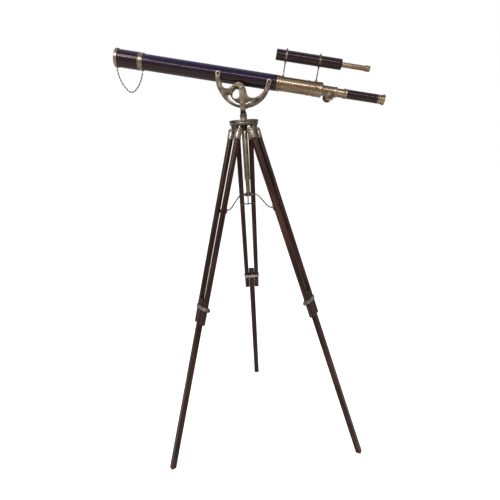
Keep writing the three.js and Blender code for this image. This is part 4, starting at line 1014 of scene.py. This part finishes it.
def make_clamp(leg, matrix, to_leg):
    """The band round both rails, with a boss and its knurled thumb screw."""
    inner_x, inner_y = RAIL_SIZE + 2 * CLEAR, CLAMP_SPACING + RAIL_SIZE + 2 * CLEAR
    ring = slab([rounded_rectangle(inner_x + 4.4, inner_y + 4.4, 8),
                 rounded_rectangle(inner_x, inner_y, 5.8)[::-1]], CLAMP_HEIGHT, 0.8, "xy")
    moved(ring, z=-CLAMP_DROP)
    heading = to_leg @ joint_axis(f"{leg}_screw_turn")
    face = (inner_x if abs(heading.x) > 0.5 else inner_y) / 2
    boss = spun([(0, 2.9), (0, 5.4), (6.3, 5.4), (7.2, 4.6), (7.2, 2.9)], 28)
    knob = spun([(0.1, 0), (0.1, 2.5), (7.5, 2.5), (7.5, 5), (9.5, 5), (9.9, 7.2), (10.7, 8), (17.2, 8),
                 (18.3, 7.2), (18.6, 4), (19.3, 2.5), (19.3, 0)], 96)
    knurled(knob, 96, 7.8, 0.6)
    for bm in (boss, knob):
        moved(turned(moved(bm, face), degrees(atan2(heading.y, heading.x)), "Z"), z=-CLAMP_DROP)
    piece(f"{leg}_clamp_band_brass", leg, [ring, boss], matrix, FERRULE_BRASS, [f"{leg}_clamp_band"])
    piece(f"{leg}_clamp_knob", f"{leg}_screw", [knob], matrix, CAST_BRASS, [f"{leg}_clamp_screw"])


def make_lower_leg(leg, matrix, to_leg, length, wood):
    """The sliding leg, cut level with the floor at its foot."""
    shaft = beam(rounded_rectangle(RAIL_SIZE, LOWER_WIDTH, 3.4), -length - 20, -CLAMP_DROP + 35, 1.0)
    everything = list(shaft.verts) + list(shaft.edges) + list(shaft.faces)
    cut = bmesh.ops.bisect_plane(shaft, geom=everything, plane_co=(0, 0, -length), plane_no=-(to_leg @ UP),
                                 clear_outer=True)
    rim = [e for e in cut["geom_cut"] if isinstance(e, bmesh.types.BMEdge)]
    bmesh.ops.holes_fill(shaft, edges=rim, sides=0)
    bmesh.ops.recalc_face_normals(shaft, faces=shaft.faces)
    piece(f"{leg}_lower_wood", f"{leg}_foot", [shaft], matrix, wood, [f"{leg}_lower"])


def make_leg(number):
    leg, matrix, wood = f"leg_{number}", leg_matrix(number), LEG_WOOD[number]
    to_leg = matrix.to_3x3().normalized().inverted()
    make_upper_leg(leg, matrix, wood)
    make_clamp(leg, matrix, to_leg)
    length = joints[f"{leg}_fold"]["pos_m"][2] / leg_axes(number)[2].z / MM
    make_lower_leg(leg, matrix, to_leg, length, wood)


# ------------------------------------------------------------------ finish the CAD nodes that stay

def finish_nodes():
    """Inner pieces keep their CAD shape and take a finish."""
    finishes = {"objective_cell": BLACK_BRASS, "objective_lens": LENS_GLASS, "eye_lens": LENS_GLASS,
                "finder_lens": LENS_GLASS, "pinion_shaft": CHAIN_NICKEL}
    for node, material in finishes.items():
        for material_slot in frame["nodes"][node].material_slots:
            material_slot.material = material


# ------------------------------------------------------------------ stage and light

FLOOR_GLOW = 0.75
ROOM_LIGHT = 0.42                                # the room around, as the object sees it


def white_backdrop_paint():
    """Matt white seamless paper, overexposed by its own light."""
    material, tree, shader, at = start_material("white seamless paper")
    tone = add_node(tree, "TexNoise", "Fac", {"Vector": at, "Scale": 1 / 900, "Detail": 2, "Roughness": 0.55})
    rays = add_node(tree, "LightPath", "Is Camera Ray")
    set_inputs(tree, shader, {
        "Base Color": add_node(tree, "ValToRGB", "Color", {"Fac": tone}, stops=[
            (0.3, linear("#fbfaf9")), (0.7, linear("#ffffff"))]),
        "Roughness": 0.9, "Emission Color": (1, 1, 1, 1),
        "Emission Strength": add_node(tree, "Math", 0, {0: rays, 1: FLOOR_GLOW}, {"operation": "MULTIPLY"})})
    return material


def make_stage():
    bm = bmesh.new()
    bmesh.ops.create_circle(bm, cap_ends=True, segments=96, radius=14)
    mesh = bpy.data.meshes.new("floor")
    bm.to_mesh(mesh)
    bm.free()
    mesh.materials.append(white_backdrop_paint())
    floor = bpy.data.objects.new("floor", mesh)
    bpy.context.scene.collection.objects.link(floor)


def area_light(name, spot, target, size, power, colour=(1, 1, 1)):
    light = bpy.data.lights.new(name, "AREA")
    light.shape = "RECTANGLE"
    light.size, light.size_y = size
    light.energy = power
    light.color = colour
    lamp = bpy.data.objects.new(name, light)
    lamp.location = spot
    lamp.rotation_euler = (Vector(target) - Vector(spot)).to_track_quat("-Z", "Y").to_euler()
    bpy.context.scene.collection.objects.link(lamp)


def make_lights():
    world = bpy.data.worlds.new("studio")
    bpy.context.scene.world = world
    world.use_nodes = True
    tree = world.node_tree
    rays = add_node(tree, "LightPath", "Is Camera Ray")
    glow = add_node(tree, "Math", 0, {0: rays, 1: 1 - ROOM_LIGHT, 2: ROOM_LIGHT},
                    {"operation": "MULTIPLY_ADD"})
    set_inputs(tree, tree.nodes["Background"], {"Color": (1.0, 1.0, 1.0, 1), "Strength": glow})
    area_light("key", (-1.6, -2.2, 3.2), (0, 0, 1.1), (1.6, 1.2), 60)
    area_light("strip", (0.2, -2.4, 2.6), (0, 0, 1.45), (3.2, 0.12), 30)
    area_light("violet_top", (0, 0.4, 3.4), (0, 0, 1.4), (3.4, 1.2), 9, (0.55, 0.45, 1.0))


def main():
    make_barrel()
    make_cap()
    make_sleeve()
    make_focuser()
    make_knobs()
    make_finder()
    make_cradle()
    make_fork()
    make_head()
    make_spreader()
    for number in LEGS:
        make_leg(number)
    finish_nodes()
    make_stage()
    make_lights()
    bpy.context.scene.view_settings.view_transform = "Standard"


main()
